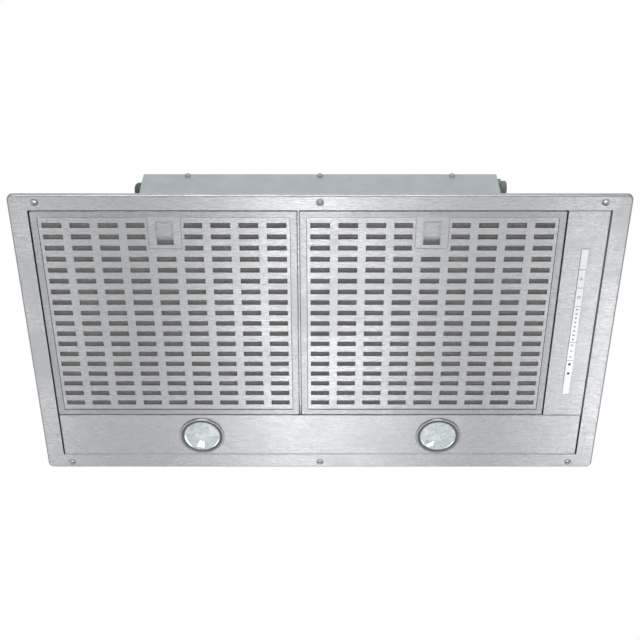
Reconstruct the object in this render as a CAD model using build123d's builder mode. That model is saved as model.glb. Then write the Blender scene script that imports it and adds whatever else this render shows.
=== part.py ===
from build123d import *
import math
import os

os.makedirs("parts", exist_ok=True)

# A range hood insert that hangs in a cabinet. X runs along its length, Y from the near edge to the
# far edge, and Z is up. The visible underside of the trim frame is Z = 0, and the origin is the
# centre of its screw pattern. All sizes are in millimetres.

# ---- Trim frame ----
FRAME_LENGTH = 702.0
FRAME_DEPTH = 402.0
FRAME_CORNER_R = 7.0
FRAME_RETURN_H = 5.0  # edge folded up to the seat under the cabinet
FRAME_BEND_R = 2.2
SHEET_T = 1.0  # stainless sheet of frame and panels
SIDE_FLANGE = 21.7  # frame width left and right of the opening
NEAR_FLANGE = 19.7
FAR_FLANGE = 22.3
SPIGOT_H = 10.0  # upstand round the opening
OPENING_BEND_R = 0.8
SCREW_END_INSET = 31.0  # outer screws from the frame's left and right edges
SCREW_EDGE_INSET = 9.0  # screws from its near and far edges
SCREW_HOLE_R = 2.25
COUNTERSINK_R = 4.5
COUNTERSINK_ANGLE = 157.0  # shallow dish for a raised screw head
DIMPLE_WALL = 1.0
DIMPLE_H = 3.2

# ---- Lamp panel, control panel and what they carry ----
PANEL_RETURN_H = 6.0
PANEL_BEND_R = 1.2
LAMP_PANEL_DEPTH = 64.5
LAMP_PANEL_SIDE_GAP = 1.3
LAMP_PITCH = 300.0
LAMP_FROM_NEAR_EDGE = 33.8  # lamp axis from the lamp panel's near edge
CONTROL_PANEL_WIDTH = 48.1
CONTROL_OUTER_GAP = 1.3
CONTROL_RETURN_H = 8.0
STRIP_WIDTH = 8.8
STRIP_LENGTH = 211.5
STRIP_FROM_NEAR_EDGE = 49.8
STRIP_OFF_CENTRE = 0.6
STRIP_SLOT_GAP = 0.4
STRIP_PROUD = 0.3
STRIP_LIP = 2.0  # lip of the glass behind the sheet
STRIP_LIP_T = 1.2
BOARD_WIDTH = 34.0
BOARD_T = 1.6
CHIP_SIZE = 7.0
CHIP_H = 1.8
CHIP_COUNT = 6
CHIP_PITCH = 32.0
HOUSING_WIDTH = 40.0
HOUSING_WALL = 1.5
HOUSING_H = 11.0
HOUSING_END = 12.0  # housing past each end of the strip
SOCKET_SIZE = (12.0, 14.0, 9.0)  # cable socket on the housing

# ---- Grease filters ----
FILTER_H = 12.0
FILTER_T = 0.8
FILTER_RIM_WIDTH = 7.7
FILTER_CORNER_R = 2.0
FILTER_BEND_R = 0.7
FILTER_SIDE_GAP = 1.5
FILTER_MIDDLE_GAP = 2.8
FILTER_CONTROL_GAP = 1.3
FILTER_NEAR_GAP = 0.9
FILTER_FAR_GAP = 1.1
SLOT_LENGTH = 22.5
SLOT_WIDTH = 6.6
SLOT_PITCH_X = 31.9
SLOT_PITCH_Y = 15.06
SLOT_MARGIN = 3.0
MESH_T = 0.8
MESH_CELLS = 15
MESH_STRAND = 2.4
BACK_WINDOWS = 8
BACK_BAR = 6.0

# ---- Filter hinge: hooks that hang on a rod behind the lamp panel's near edge ----
ROD_R = 1.5
ROD_LIFT = 0.1  # rod above the lamp panel's sheet
ROD_SETBACK = 0.2  # rod behind the lamp panel's return
ROD_END_INSET = 6.0
SADDLE_COUNT = 5
SADDLE_WIDTH = 8.0
SADDLE_WALL = 1.2
HOOK_CLEARANCE = 0.06
HOOK_T = 1.05
HOOK_WIDTH = 14.0
HOOK_INSET = 45.0  # hook's middle from the filter's side
HOOK_STRAP_SETBACK = 0.5  # strap's far face short of the rod's axis
HOOK_FOOT = 7.0  # strap's run on the rim
HOOK_START_DEG = -20.0
HOOK_END_DEG = 130.0
HOOK_STRAP_RISE = 1.9  # strap's foot above the rod's axis
HOOK_BEND_R = 1.2
HOOK_WINDOW_GAP = 2.0

# ---- Filter latch ----
DISH_WIDTH = 37.0
DISH_LENGTH = 43.3
DISH_UNDERLAP = 0.9  # dish past the rim's inner line
DISH_DEPTH = 0.7
DISH_FLANGE = 3.0
LATCH_TRAVEL = 4.0
LATCH_WIDTH = 21.0
LATCH_T = 1.0
LATCH_FROM_NEAR = 7.2  # slider's near edge from the dish's near wall
LATCH_LENGTH = 31.4
LATCH_GAP = 0.3  # slider behind the dish's floor
PAD_WIDTH = 19.4
PAD_LENGTH = 20.2
PAD_RISE = 1.0  # pad through the floor's window
PAD_BEVEL = 0.25
WINDOW_GAP = 0.4
CUP_WIDTH = 19.0
CUP_LENGTH = 9.4
CUP_HEIGHT = 5.4
CUP_WALL = 0.8
GUIDE_T = 1.0  # wall and lip of the guides beside the slider
GUIDE_LENGTH = 16.0
GUIDE_LIP = 1.2
STRAP_WIDTH = 12.0
STRAP_SHORT = 0.3  # tongue's tip short of the frame
LATCH_SLOT_GAP = 0.5
SPRING_R = 2.0
SPRING_WIRE_R = 0.25
SPRING_LENGTH = 8.1
SPRING_TURNS = 5
SPRING_END_GAP = 0.1
SPRING_PIN_R = 1.2
SPRING_PIN_LENGTH = 3.4

# ---- Divider between the filters ----
DIVIDER_T = 1.2
DIVIDER_LIFT = 3.0
DIVIDER_TEE_WIDTH = 14.0
DIVIDER_OVER_FILTER = 0.8
DIVIDER_TEE_SHORT = 6.0  # tee ends before the near slope

# ---- Chamber and blower box ----
GALV_T = 1.0  # galvanised sheet
SKIRT_TOP = 12.0
CHAMBER_TOP = 62.0
NECK_H = 10.0
SLOPE_DROP = 0.6  # inner slope below the outer one, for an even wall
BOX_LENGTH = 466.6
BOX_NEAR_SETBACK = 106.8  # box's near face from the frame's near edge
BOX_FAR_SETBACK = 31.0
BOX_TOP = 250.0
BOX_BEND_R = 3.0
BOX_FLANGE = 14.0
LID_TONGUE_H = 13.0
PAN_SCREW_PITCH = 174.5
PAN_SCREW_DROP = 6.0
PAN_HEAD_R = 4.0
PAN_HEAD_H = 2.6
PAN_SHANK_R = 1.9
PAN_SHANK_LENGTH = 9.0
PAN_HOLE_GAP = 0.05

# ---- Fan ----
SCROLL_WIDTH = 160.0  # inside, along X
SCROLL_STEP = 12.0  # growth of the spiral per quarter turn
SCROLL_FIRST_R = 90.0
SCROLL_NEAR_GAP = 4.0
SCROLL_OUTLET_Z = 226.0
CUTOFF_DEG = 70.0
CUTOFF_RISE = 5.0
INLET_R = 60.0
INLET_LIP = 7.0
IMPELLER_R = 75.0
IMPELLER_INNER_R = 62.0
IMPELLER_WIDTH = 150.0
IMPELLER_RING_T = 2.0
IMPELLER_DISC_T = 2.0
BLADE_COUNT = 36
BLADE_T = 1.0
HUB_R = 12.0
HUB_LENGTH = 18.0
SHAFT_R = 4.0
SHAFT_PAST_HUB = 2.0
SHAFT_FIT = 0.02
MOTOR_R = 44.0
MOTOR_LENGTH = 82.0
MOTOR_TO_HUB = 6.0
MOTOR_CAP_R = 34.0
MOTOR_CAP_H = 6.0
BEARING_R = 9.0
BEARING_WIDTH = 7.0
BEARING_FIT = 0.05
BRACKET_T = 3.0
BRACKET_RING_R = 30.0
BRACKET_BORE_R = 18.0
BRACKET_ARM_WIDTH = 12.0
BRACKET_ARM_R = 80.0
BRACKET_FOOT = 12.0

# ---- Outlet ----
COLLAR_R = 75.0
COLLAR_T = 1.0
COLLAR_H = 43.0
COLLAR_FLANGE_R = 86.0
COLLAR_FLANGE_T = 1.2
COLLAR_SCREW_R = 80.5
FLAP_AXIS_LIFT = 8.0  # above the lid
FLAP_R = 72.6
FLAP_T = 1.0
FLAP_KNUCKLE_T = 1.0
FLAP_KNUCKLE_FIT = 0.06
FLAP_KNUCKLE_COUNT = 4
FLAP_KNUCKLE_GAP = 0.6
SPINDLE_R = 1.5
LEDGE_WIDTH = 3.5
LEDGE_T = 1.5
LEDGE_GAP = 0.3
OUTLET_RING = 3.0

# ---- Electrical parts ----
POWER_BOX_SIZE = (52.3, 54.0, 42.0)
POWER_BOX_WALL = 2.0
POWER_BOX_FROM_NEAR = 3.2
POWER_BOX_DROP = 4.0
GLAND_FROM_NEAR = 14.2  # gland axis from the box's near face
GLAND_DROP = 15.0  # below the box's top
GLAND_HEX_R = 12.5
GLAND_HEX_H = 5.0
GLAND_NOSE_R = 10.0
GLAND_NOSE_H = 7.5
GLAND_THREAD_R = 8.0
GLAND_BORE_R = 3.75
GLAND_NUT_H = 4.0
PLUG_R = 10.0
PLUG_H = 10.5
PLUG_DROP = 20.0
PLUG_STEM_R = 6.0
PLUG_STEM_LENGTH = 5.0
CAPACITOR_R = 17.5
CAPACITOR_LENGTH = 67.0
CAPACITOR_STUD_R = 4.0
CAPACITOR_NUT_R = 7.0
CAPACITOR_NUT_H = 5.0
CAPACITOR_FROM_NEAR = 114.0
CAPACITOR_DROP = 50.0
LEAD_R = 3.0
LEAD_BEND = 0.45

# ---- Lamps ----
BEZEL_R = 28.5
BEZEL_DROP = 2.0  # below the lamp panel's face
BEZEL_LIP_R = 26.6
LENS_R = 22.8
LENS_SEAT_Z = 2.4
LENS_FLANGE_R = 24.5
LENS_FLANGE_T = 2.0
LENS_SIDE_Z = -1.0  # lens's edge, below the lamp panel's face
LENS_LOW_Z = -1.9
BEZEL_TUBE_R = 26.0
BEZEL_TUBE_TOP = 9.0
LAMP_HOLE_GAP = 0.2
MODULE_R = 24.6
MODULE_TOP = 34.0
MODULE_WALL = 1.6
MODULE_FIN_R = 22.0
MODULE_FIN_H = 2.0
MODULE_FIN_COUNT = 4
CLIP_WIDTH = 10.0
CLIP_T = 0.8
CLIP_REACH = 8.0

# ---- Places worked out from the sizes above ----
screw_pitch_x = (FRAME_LENGTH - 2 * SCREW_END_INSET) / 2
screw_span_y = FRAME_DEPTH - 2 * SCREW_EDGE_INSET
open_x = FRAME_LENGTH / 2 - SIDE_FLANGE
open_near = -FRAME_DEPTH / 2 + NEAR_FLANGE
open_far = FRAME_DEPTH / 2 - FAR_FLANGE
open_depth = open_far - open_near
open_mid_y = (open_far + open_near) / 2

lamp_panel_near = open_far - LAMP_PANEL_DEPTH
lamp_y = lamp_panel_near + LAMP_FROM_NEAR_EDGE
control_x1 = open_x - CONTROL_OUTER_GAP
control_x0 = control_x1 - CONTROL_PANEL_WIDTH
control_x = (control_x0 + control_x1) / 2
strip_x = control_x + STRIP_OFF_CENTRE

filter_x0 = -open_x + FILTER_SIDE_GAP
filter_x1 = control_x0 - FILTER_CONTROL_GAP
filter_width = (filter_x1 - filter_x0 - FILTER_MIDDLE_GAP) / 2
filter_near = open_near + FILTER_NEAR_GAP
filter_far = lamp_panel_near - FILTER_FAR_GAP
filter_depth = filter_far - filter_near
filter_y = (filter_near + filter_far) / 2
filter_centres = {
    "left": filter_x0 + filter_width / 2,
    "right": filter_x1 - filter_width / 2,
}

rod_y = lamp_panel_near + SHEET_T + ROD_SETBACK + ROD_R
rod_z = SHEET_T + ROD_LIFT + ROD_R
divider_x = filter_x0 + filter_width + FILTER_MIDDLE_GAP / 2

box_near = -FRAME_DEPTH / 2 + BOX_NEAR_SETBACK
box_far = FRAME_DEPTH / 2 - BOX_FAR_SETBACK
box_x = BOX_LENGTH / 2
lid_z = BOX_TOP - GALV_T

scroll_left = SCROLL_FIRST_R + SCROLL_STEP / 2
scroll_right = SCROLL_FIRST_R + 2.5 * SCROLL_STEP
shaft_y = box_near + GALV_T + SCROLL_NEAR_GAP + scroll_left
shaft_z = SCROLL_OUTLET_Z - SCROLL_FIRST_R + SCROLL_STEP / 2
cutoff_y = -SCROLL_STEP / 2 + SCROLL_FIRST_R * math.cos(math.radians(CUTOFF_DEG))
cutoff_z = -SCROLL_STEP / 2 + SCROLL_FIRST_R * math.sin(math.radians(CUTOFF_DEG))
collar_y = shaft_y + (cutoff_y + scroll_right) / 2
flap_z = BOX_TOP + FLAP_AXIS_LIFT


# ---- Trim frame: one folded pan, parted into four rails ----
with BuildPart() as frame_pan:
    with BuildSketch():
        RectangleRounded(FRAME_LENGTH, FRAME_DEPTH, FRAME_CORNER_R)
    extrude(amount=FRAME_RETURN_H)
    fillet(frame_pan.faces().sort_by(Axis.Z)[0].edges(), FRAME_BEND_R)
    offset(amount=-SHEET_T, openings=frame_pan.faces().sort_by(Axis.Z)[-1])
    with BuildSketch(Plane.XY.offset(SHEET_T / 2)):
        with Locations((0, open_mid_y)):
            Rectangle(2 * (open_x + SHEET_T), open_depth + 2 * SHEET_T)
    extrude(amount=SPIGOT_H - SHEET_T / 2)
    with BuildSketch(Plane.XY.offset(SHEET_T / 2)):
        with GridLocations(screw_pitch_x, screw_span_y, 3, 2):
            Circle(COUNTERSINK_R + DIMPLE_WALL)
    extrude(amount=DIMPLE_H - SHEET_T / 2)
    with BuildSketch():
        with Locations((0, open_mid_y)):
            Rectangle(2 * open_x, open_depth)
    extrude(amount=SPIGOT_H, mode=Mode.SUBTRACT)
    opening_edges = [
        edge
        for edge in frame_pan.edges().filter_by_position(Axis.Z, -0.01, 0.01)
        if abs(edge.center().X) < open_x + 0.01
        and open_near - 0.01 < edge.center().Y < open_far + 0.01
    ]
    fillet(opening_edges, OPENING_BEND_R)
    with Locations(Plane(origin=(0, 0, 0), x_dir=(1, 0, 0), z_dir=(0, 0, -1))):
        with GridLocations(screw_pitch_x, screw_span_y, 3, 2):
            CounterSinkHole(SCREW_HOLE_R, COUNTERSINK_R, DIMPLE_H, COUNTERSINK_ANGLE)


def trim_rail(label, x0, x1, y0, y1):
    """One rail: the pan inside a rectangle of the plan."""
    with BuildPart() as rail:
        add(frame_pan.part)
        with BuildSketch():
            with Locations(((x0 + x1) / 2, (y0 + y1) / 2)):
                Rectangle(x1 - x0, y1 - y0)
        extrude(amount=SPIGOT_H, mode=Mode.INTERSECT)
    rail.part.label = label
    export_step(rail.part, f"parts/{label}.step")


trim_rail("trim_rail_near", -FRAME_LENGTH / 2, FRAME_LENGTH / 2, -FRAME_DEPTH / 2, open_near)
trim_rail("trim_rail_far", -FRAME_LENGTH / 2, FRAME_LENGTH / 2, open_far, FRAME_DEPTH / 2)
trim_rail("trim_rail_left", -FRAME_LENGTH / 2, -open_x, open_near, open_far)
trim_rail("trim_rail_right", open_x, FRAME_LENGTH / 2, open_near, open_far)

# ---- Lamp panel: a folded tray with two lamp holes, hook windows and saddles for the rod ----
hook_xs = [
    centre + side * (filter_width / 2 - HOOK_INSET)
    for centre in filter_centres.values()
    for side in (-1, 1)
]
rod_x0 = -open_x + LAMP_PANEL_SIDE_GAP + ROD_END_INSET
rod_x1 = filter_x1 - ROD_END_INSET
saddle_step = (rod_x1 - rod_x0 - SADDLE_WIDTH) / (SADDLE_COUNT - 1)
saddle_xs = [rod_x0 + SADDLE_WIDTH / 2 + i * saddle_step for i in range(SADDLE_COUNT)]
with BuildPart() as lamp_panel:
    with BuildSketch():
        with Locations((0, (lamp_panel_near + open_far) / 2)):
            Rectangle(2 * (open_x - LAMP_PANEL_SIDE_GAP), LAMP_PANEL_DEPTH)
    extrude(amount=PANEL_RETURN_H)
    fillet(lamp_panel.faces().sort_by(Axis.Z)[0].edges(), PANEL_BEND_R)
    offset(amount=-SHEET_T, openings=lamp_panel.faces().sort_by(Axis.Z)[-1])
    with BuildSketch(Plane.XY.offset(PANEL_BEND_R)):
        for x in hook_xs:
            with Locations((x, lamp_panel_near)):
                Rectangle(HOOK_WIDTH + 2 * HOOK_WINDOW_GAP, 4 * SHEET_T)
    extrude(amount=PANEL_RETURN_H, mode=Mode.SUBTRACT)
    for x in saddle_xs:
        with BuildSketch(Plane.XY.offset(SHEET_T)):
            with Locations((x, rod_y + SADDLE_WALL / 2)):
                Rectangle(SADDLE_WIDTH, 2 * ROD_R + SADDLE_WALL)
        extrude(amount=rod_z + ROD_R + SADDLE_WALL - SHEET_T)
    with BuildSketch(Plane.YZ.offset(-open_x + 2 * SHEET_T)):
        with Locations((rod_y, rod_z)):
            Circle(ROD_R + HOOK_CLEARANCE)
    extrude(amount=2 * open_x - 4 * SHEET_T, mode=Mode.SUBTRACT)
    with BuildSketch():
        with Locations((-LAMP_PITCH / 2, lamp_y), (LAMP_PITCH / 2, lamp_y)):
            Circle(BEZEL_TUBE_R + LAMP_HOLE_GAP)
    extrude(amount=SHEET_T, mode=Mode.SUBTRACT)
lamp_panel.part.label = "lamp_panel"
export_step(lamp_panel.part, "parts/lamp_panel.step")

with BuildPart() as hinge_rod:
    with BuildSketch(Plane.YZ.offset(rod_x0)):
        with Locations((rod_y, rod_z)):
            Circle(ROD_R)
    extrude(amount=rod_x1 - rod_x0)
hinge_rod.part.label = "hinge_rod"
export_step(hinge_rod.part, "parts/hinge_rod.step")

# ---- Control panel, touch strip, board and housing ----
strip_y = open_near + STRIP_FROM_NEAR_EDGE + STRIP_LENGTH / 2
with BuildPart() as control_panel:
    with BuildSketch():
        with Locations((control_x, (open_near + lamp_panel_near) / 2)):
            Rectangle(CONTROL_PANEL_WIDTH, lamp_panel_near - open_near)
    extrude(amount=CONTROL_RETURN_H)
    fillet(control_panel.faces().sort_by(Axis.Z)[0].edges(), PANEL_BEND_R)
    offset(amount=-SHEET_T, openings=control_panel.faces().sort_by(Axis.Z)[-1])
    with BuildSketch():
        with Locations((strip_x, strip_y)):
            Rectangle(STRIP_WIDTH + 2 * STRIP_SLOT_GAP, STRIP_LENGTH + 2 * STRIP_SLOT_GAP)
    extrude(amount=SHEET_T, mode=Mode.SUBTRACT)
control_panel.part.label = "control_panel"
export_step(control_panel.part, "parts/control_panel.step")

with BuildPart() as touch_strip:
    with BuildSketch(Plane.XY.offset(-STRIP_PROUD)):
        with Locations((strip_x, strip_y)):
            Rectangle(STRIP_WIDTH, STRIP_LENGTH)
    extrude(amount=STRIP_PROUD + SHEET_T)
    chamfer(touch_strip.faces().sort_by(Axis.Z)[0].edges(), STRIP_PROUD / 2)
    with BuildSketch(Plane.XY.offset(SHEET_T)):
        with Locations((strip_x, strip_y)):
            Rectangle(STRIP_WIDTH + 2 * STRIP_LIP, STRIP_LENGTH + 2 * STRIP_LIP)
    extrude(amount=STRIP_LIP_T)
touch_strip.part.label = "touch_strip"
export_step(touch_strip.part, "parts/touch_strip.step")

board_z = SHEET_T + STRIP_LIP_T
with BuildPart() as control_board:
    with BuildSketch(Plane.XY.offset(board_z)):
        with Locations((control_x, strip_y)):
            Rectangle(BOARD_WIDTH, STRIP_LENGTH + 2 * STRIP_LIP)
    extrude(amount=BOARD_T)
    with BuildSketch(Plane.XY.offset(board_z + BOARD_T)):
        with Locations((control_x, strip_y)):
            with GridLocations(1, CHIP_PITCH, 1, CHIP_COUNT):
                Rectangle(CHIP_SIZE, CHIP_SIZE)
    extrude(amount=CHIP_H)
control_board.part.label = "control_board"
export_step(control_board.part, "parts/control_board.step")

housing_length = STRIP_LENGTH + 2 * HOUSING_END
socket_x = control_x - HOUSING_WIDTH / 2 + HOUSING_WALL + SOCKET_SIZE[0]
with BuildPart() as control_housing:
    with BuildSketch(Plane.XY.offset(SHEET_T)):
        with Locations((control_x, strip_y)):
            Rectangle(HOUSING_WIDTH, housing_length)
    extrude(amount=HOUSING_H - SHEET_T)
    fillet(control_housing.edges().filter_by(Axis.Z), 2 * HOUSING_WALL)
    with BuildSketch(Plane.XY.offset(SHEET_T)):
        with Locations((control_x, strip_y)):
            Rectangle(HOUSING_WIDTH - 2 * HOUSING_WALL, housing_length - 2 * HOUSING_WALL)
    extrude(amount=HOUSING_H - SHEET_T - HOUSING_WALL, mode=Mode.SUBTRACT)
    with BuildSketch(Plane.XY.offset(HOUSING_H)):
        with Locations((socket_x, strip_y)):
            Rectangle(SOCKET_SIZE[0], SOCKET_SIZE[1])
    extrude(amount=SOCKET_SIZE[2])
control_housing.part.label = "control_housing"
export_step(control_housing.part, "parts/control_housing.step")

# ---- Divider between the filters: an inverted tee hung over the gap ----
tee_z = FILTER_H + DIVIDER_OVER_FILTER
tee_near = open_near + DIVIDER_TEE_SHORT
with BuildPart() as filter_divider:
    with BuildSketch(Plane.XY.offset(DIVIDER_LIFT)):
        with Locations((divider_x, (open_near + lamp_panel_near) / 2)):
            Rectangle(DIVIDER_T, lamp_panel_near - open_near)
    extrude(amount=SPIGOT_H - DIVIDER_LIFT)
    with BuildSketch(Plane.XY.offset(DIVIDER_LIFT)):
        with Locations((divider_x, (tee_near + lamp_panel_near) / 2)):
            Rectangle(DIVIDER_T, lamp_panel_near - tee_near)
    extrude(amount=tee_z - DIVIDER_LIFT)
    with BuildSketch(Plane.XY.offset(tee_z)):
        with Locations((divider_x, (tee_near + lamp_panel_near) / 2)):
            Rectangle(DIVIDER_TEE_WIDTH, lamp_panel_near - tee_near)
    extrude(amount=SHEET_T)
filter_divider.part.label = "filter_divider"
export_step(filter_divider.part, "parts/filter_divider.step")

# ---- Grease filters ----
inner_width = filter_width - 2 * FILTER_RIM_WIDTH
inner_depth = filter_depth - 2 * FILTER_RIM_WIDTH
pack_width = filter_width - 2 * FILTER_T
pack_depth = filter_depth - 2 * FILTER_T
pack_corner_r = FILTER_CORNER_R - FILTER_T
slot_columns = int((inner_width - 2 * SLOT_MARGIN + SLOT_PITCH_X - SLOT_LENGTH) / SLOT_PITCH_X)
slot_rows = int((inner_depth - 2 * SLOT_MARGIN + SLOT_PITCH_Y - SLOT_WIDTH) / SLOT_PITCH_Y)

dish_near = filter_near + FILTER_RIM_WIDTH - DISH_UNDERLAP
dish_far = dish_near + DISH_LENGTH
dish_y = (dish_near + dish_far) / 2
dish_floor_z = FILTER_T + DISH_DEPTH
latch_near = dish_near + LATCH_FROM_NEAR
latch_far = latch_near + LATCH_LENGTH
latch_z = dish_floor_z + FILTER_T + LATCH_GAP
cup_far = latch_far - CUP_WALL
cup_near = cup_far - CUP_LENGTH
cup_top = latch_z + LATCH_T + CUP_HEIGHT
spring_near = cup_far + CUP_WALL
spring_far = spring_near + SPRING_LENGTH
spring_z = latch_z + LATCH_T + SPRING_R + 2 * SPRING_WIRE_R
sheet_z = FILTER_T
pack_z = 2 * FILTER_T
back_z = FILTER_H - 2 * FILTER_T
dish_cut_x = DISH_WIDTH / 2 + FILTER_T
dish_cut_near = dish_near - FILTER_T
dish_cut_far = dish_far + FILTER_T


def filter_rim(side, cx):
    """Folded channel round the filter, with two hooks welded on that hang on the rod."""
    with BuildPart() as rim:
        with BuildSketch():
            with Locations((cx, filter_y)):
                RectangleRounded(filter_width, filter_depth, FILTER_CORNER_R)
        extrude(amount=FILTER_H)
        fillet(rim.faces().sort_by(Axis.Z)[0].edges(), FILTER_BEND_R)
        fillet(rim.faces().sort_by(Axis.Z)[-1].edges(), FILTER_BEND_R)
        with BuildSketch(Plane.XY.offset(FILTER_T)):
            with Locations((cx, filter_y)):
                RectangleRounded(pack_width, pack_depth, pack_corner_r)
        extrude(amount=FILTER_H - 2 * FILTER_T, mode=Mode.SUBTRACT)
        with BuildSketch():
            with Locations((cx, filter_y)):
                Rectangle(inner_width, inner_depth)
        extrude(amount=FILTER_H, mode=Mode.SUBTRACT)
        with BuildSketch(Plane.XY.offset(latch_z - LATCH_SLOT_GAP)):
            with Locations((cx, filter_near)):
                Rectangle(STRAP_WIDTH + 2 * LATCH_SLOT_GAP, 4 * FILTER_T)
        extrude(amount=LATCH_T + 2 * LATCH_SLOT_GAP, mode=Mode.SUBTRACT)
        hook_in = ROD_R + HOOK_CLEARANCE
        hook_out = hook_in + HOOK_T
        strap_far = rod_y - HOOK_STRAP_SETBACK
        strap_y = strap_far - HOOK_T / 2
        strap_z0 = rod_z + HOOK_STRAP_RISE
        foot_near = filter_far - HOOK_FOOT
        gap_degs = [HOOK_END_DEG + i * (360 + HOOK_START_DEG - HOOK_END_DEG) / 4 for i in range(5)]
        gap_points = [
            (3 * hook_out * math.cos(math.radians(d)), 3 * hook_out * math.sin(math.radians(d)))
            for d in gap_degs
        ]
        for hook_side in (-1, 1):
            hook_x = cx + hook_side * (filter_width / 2 - HOOK_INSET)
            with BuildSketch(Plane.YZ.offset(hook_x - HOOK_WIDTH / 2)) as hook:
                with Locations((rod_y, rod_z)):
                    Circle(hook_out)
                    Polygon((0, 0), *gap_points, align=None, mode=Mode.SUBTRACT)
                with Locations((strap_y, (strap_z0 + FILTER_H + HOOK_T) / 2)):
                    Rectangle(HOOK_T, FILTER_H + HOOK_T - strap_z0)
                with Locations(((foot_near + strap_far) / 2, FILTER_H + HOOK_T / 2)):
                    Rectangle(strap_far - foot_near, HOOK_T)
                with Locations((rod_y, rod_z)):
                    Circle(hook_in, mode=Mode.SUBTRACT)
                fillet(hook.vertices().group_by(Axis.Y)[-1].sort_by(Axis.X)[-1], HOOK_BEND_R)
            extrude(amount=HOOK_WIDTH)
    rim.part.label = f"filter_{side}_rim"
    export_step(rim.part, f"parts/filter_{side}_rim.step")


def filter_face(side, cx):
    """Face sheet with rows of slots and the opening for the latch dish."""
    slot_places = []
    for i in range(slot_columns):
        for j in range(slot_rows):
            x = cx + (i - (slot_columns - 1) / 2) * SLOT_PITCH_X
            y = filter_y + (j - (slot_rows - 1) / 2) * SLOT_PITCH_Y
            over_dish = abs(x - cx) < (dish_cut_x + SLOT_LENGTH / 2)
            if over_dish and y - SLOT_WIDTH / 2 < dish_cut_far + SLOT_MARGIN:
                continue
            slot_places.append((x, y))
    with BuildPart() as face:
        with BuildSketch(Plane.XY.offset(sheet_z)):
            with Locations((cx, filter_y)):
                RectangleRounded(pack_width, pack_depth, pack_corner_r)
            with Locations(*slot_places):
                Rectangle(SLOT_LENGTH, SLOT_WIDTH, mode=Mode.SUBTRACT)
            with Locations((cx, (dish_cut_near + dish_cut_far) / 2)):
                Rectangle(2 * dish_cut_x, dish_cut_far - dish_cut_near, mode=Mode.SUBTRACT)
        extrude(amount=FILTER_T)
    face.part.label = f"filter_{side}_face"
    export_step(face.part, f"parts/filter_{side}_face.step")


def filter_mesh(side, cx):
    """Two nets of diamond gaps against the face sheet and the back grid, cut out round the latch."""
    cell_x = (pack_width - MESH_STRAND) / MESH_CELLS
    cell_y = (pack_depth - MESH_STRAND) / MESH_CELLS
    half_x = (cell_x - MESH_STRAND) / 2
    half_y = (cell_y - MESH_STRAND) / 2
    cut_far = spring_far + 2 * DISH_FLANGE
    cut_near = filter_near + FILTER_T
    cut_middle = (cx, (cut_near + cut_far) / 2)
    gap_places = [
        (cx + (i - (MESH_CELLS - 1) / 2) * cell_x, filter_y + (j - (MESH_CELLS - 1) / 2) * cell_y)
        for i in range(MESH_CELLS)
        for j in range(MESH_CELLS)
    ]
    with BuildPart() as mesh:
        for z in (pack_z, back_z - MESH_T):
            with BuildSketch(Plane.XY.offset(z)):
                with Locations((cx, filter_y)):
                    RectangleRounded(pack_width, pack_depth, pack_corner_r)
                with Locations(*gap_places):
                    Polygon(
                        (half_x, 0), (0, half_y), (-half_x, 0), (0, -half_y),
                        mode=Mode.SUBTRACT,
                    )
                with Locations(cut_middle):
                    Rectangle(
                        2 * (dish_cut_x + 2 * DISH_FLANGE), cut_far - cut_near, mode=Mode.SUBTRACT
                    )
        extrude(amount=MESH_T)
    mesh.part.label = f"filter_{side}_mesh"
    export_step(mesh.part, f"parts/filter_{side}_mesh.step")


def filter_back(side, cx):
    """Back grid of the filter."""
    pitch_x = inner_width / BACK_WINDOWS
    pitch_y = inner_depth / BACK_WINDOWS
    with BuildPart() as back:
        with BuildSketch(Plane.XY.offset(back_z)):
            with Locations((cx, filter_y)):
                RectangleRounded(pack_width, pack_depth, pack_corner_r)
                with GridLocations(pitch_x, pitch_y, BACK_WINDOWS, BACK_WINDOWS):
                    Rectangle(pitch_x - BACK_BAR, pitch_y - BACK_BAR, mode=Mode.SUBTRACT)
        extrude(amount=FILTER_T)
    back.part.label = f"filter_{side}_back"
    export_step(back.part, f"parts/filter_{side}_back.step")


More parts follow.
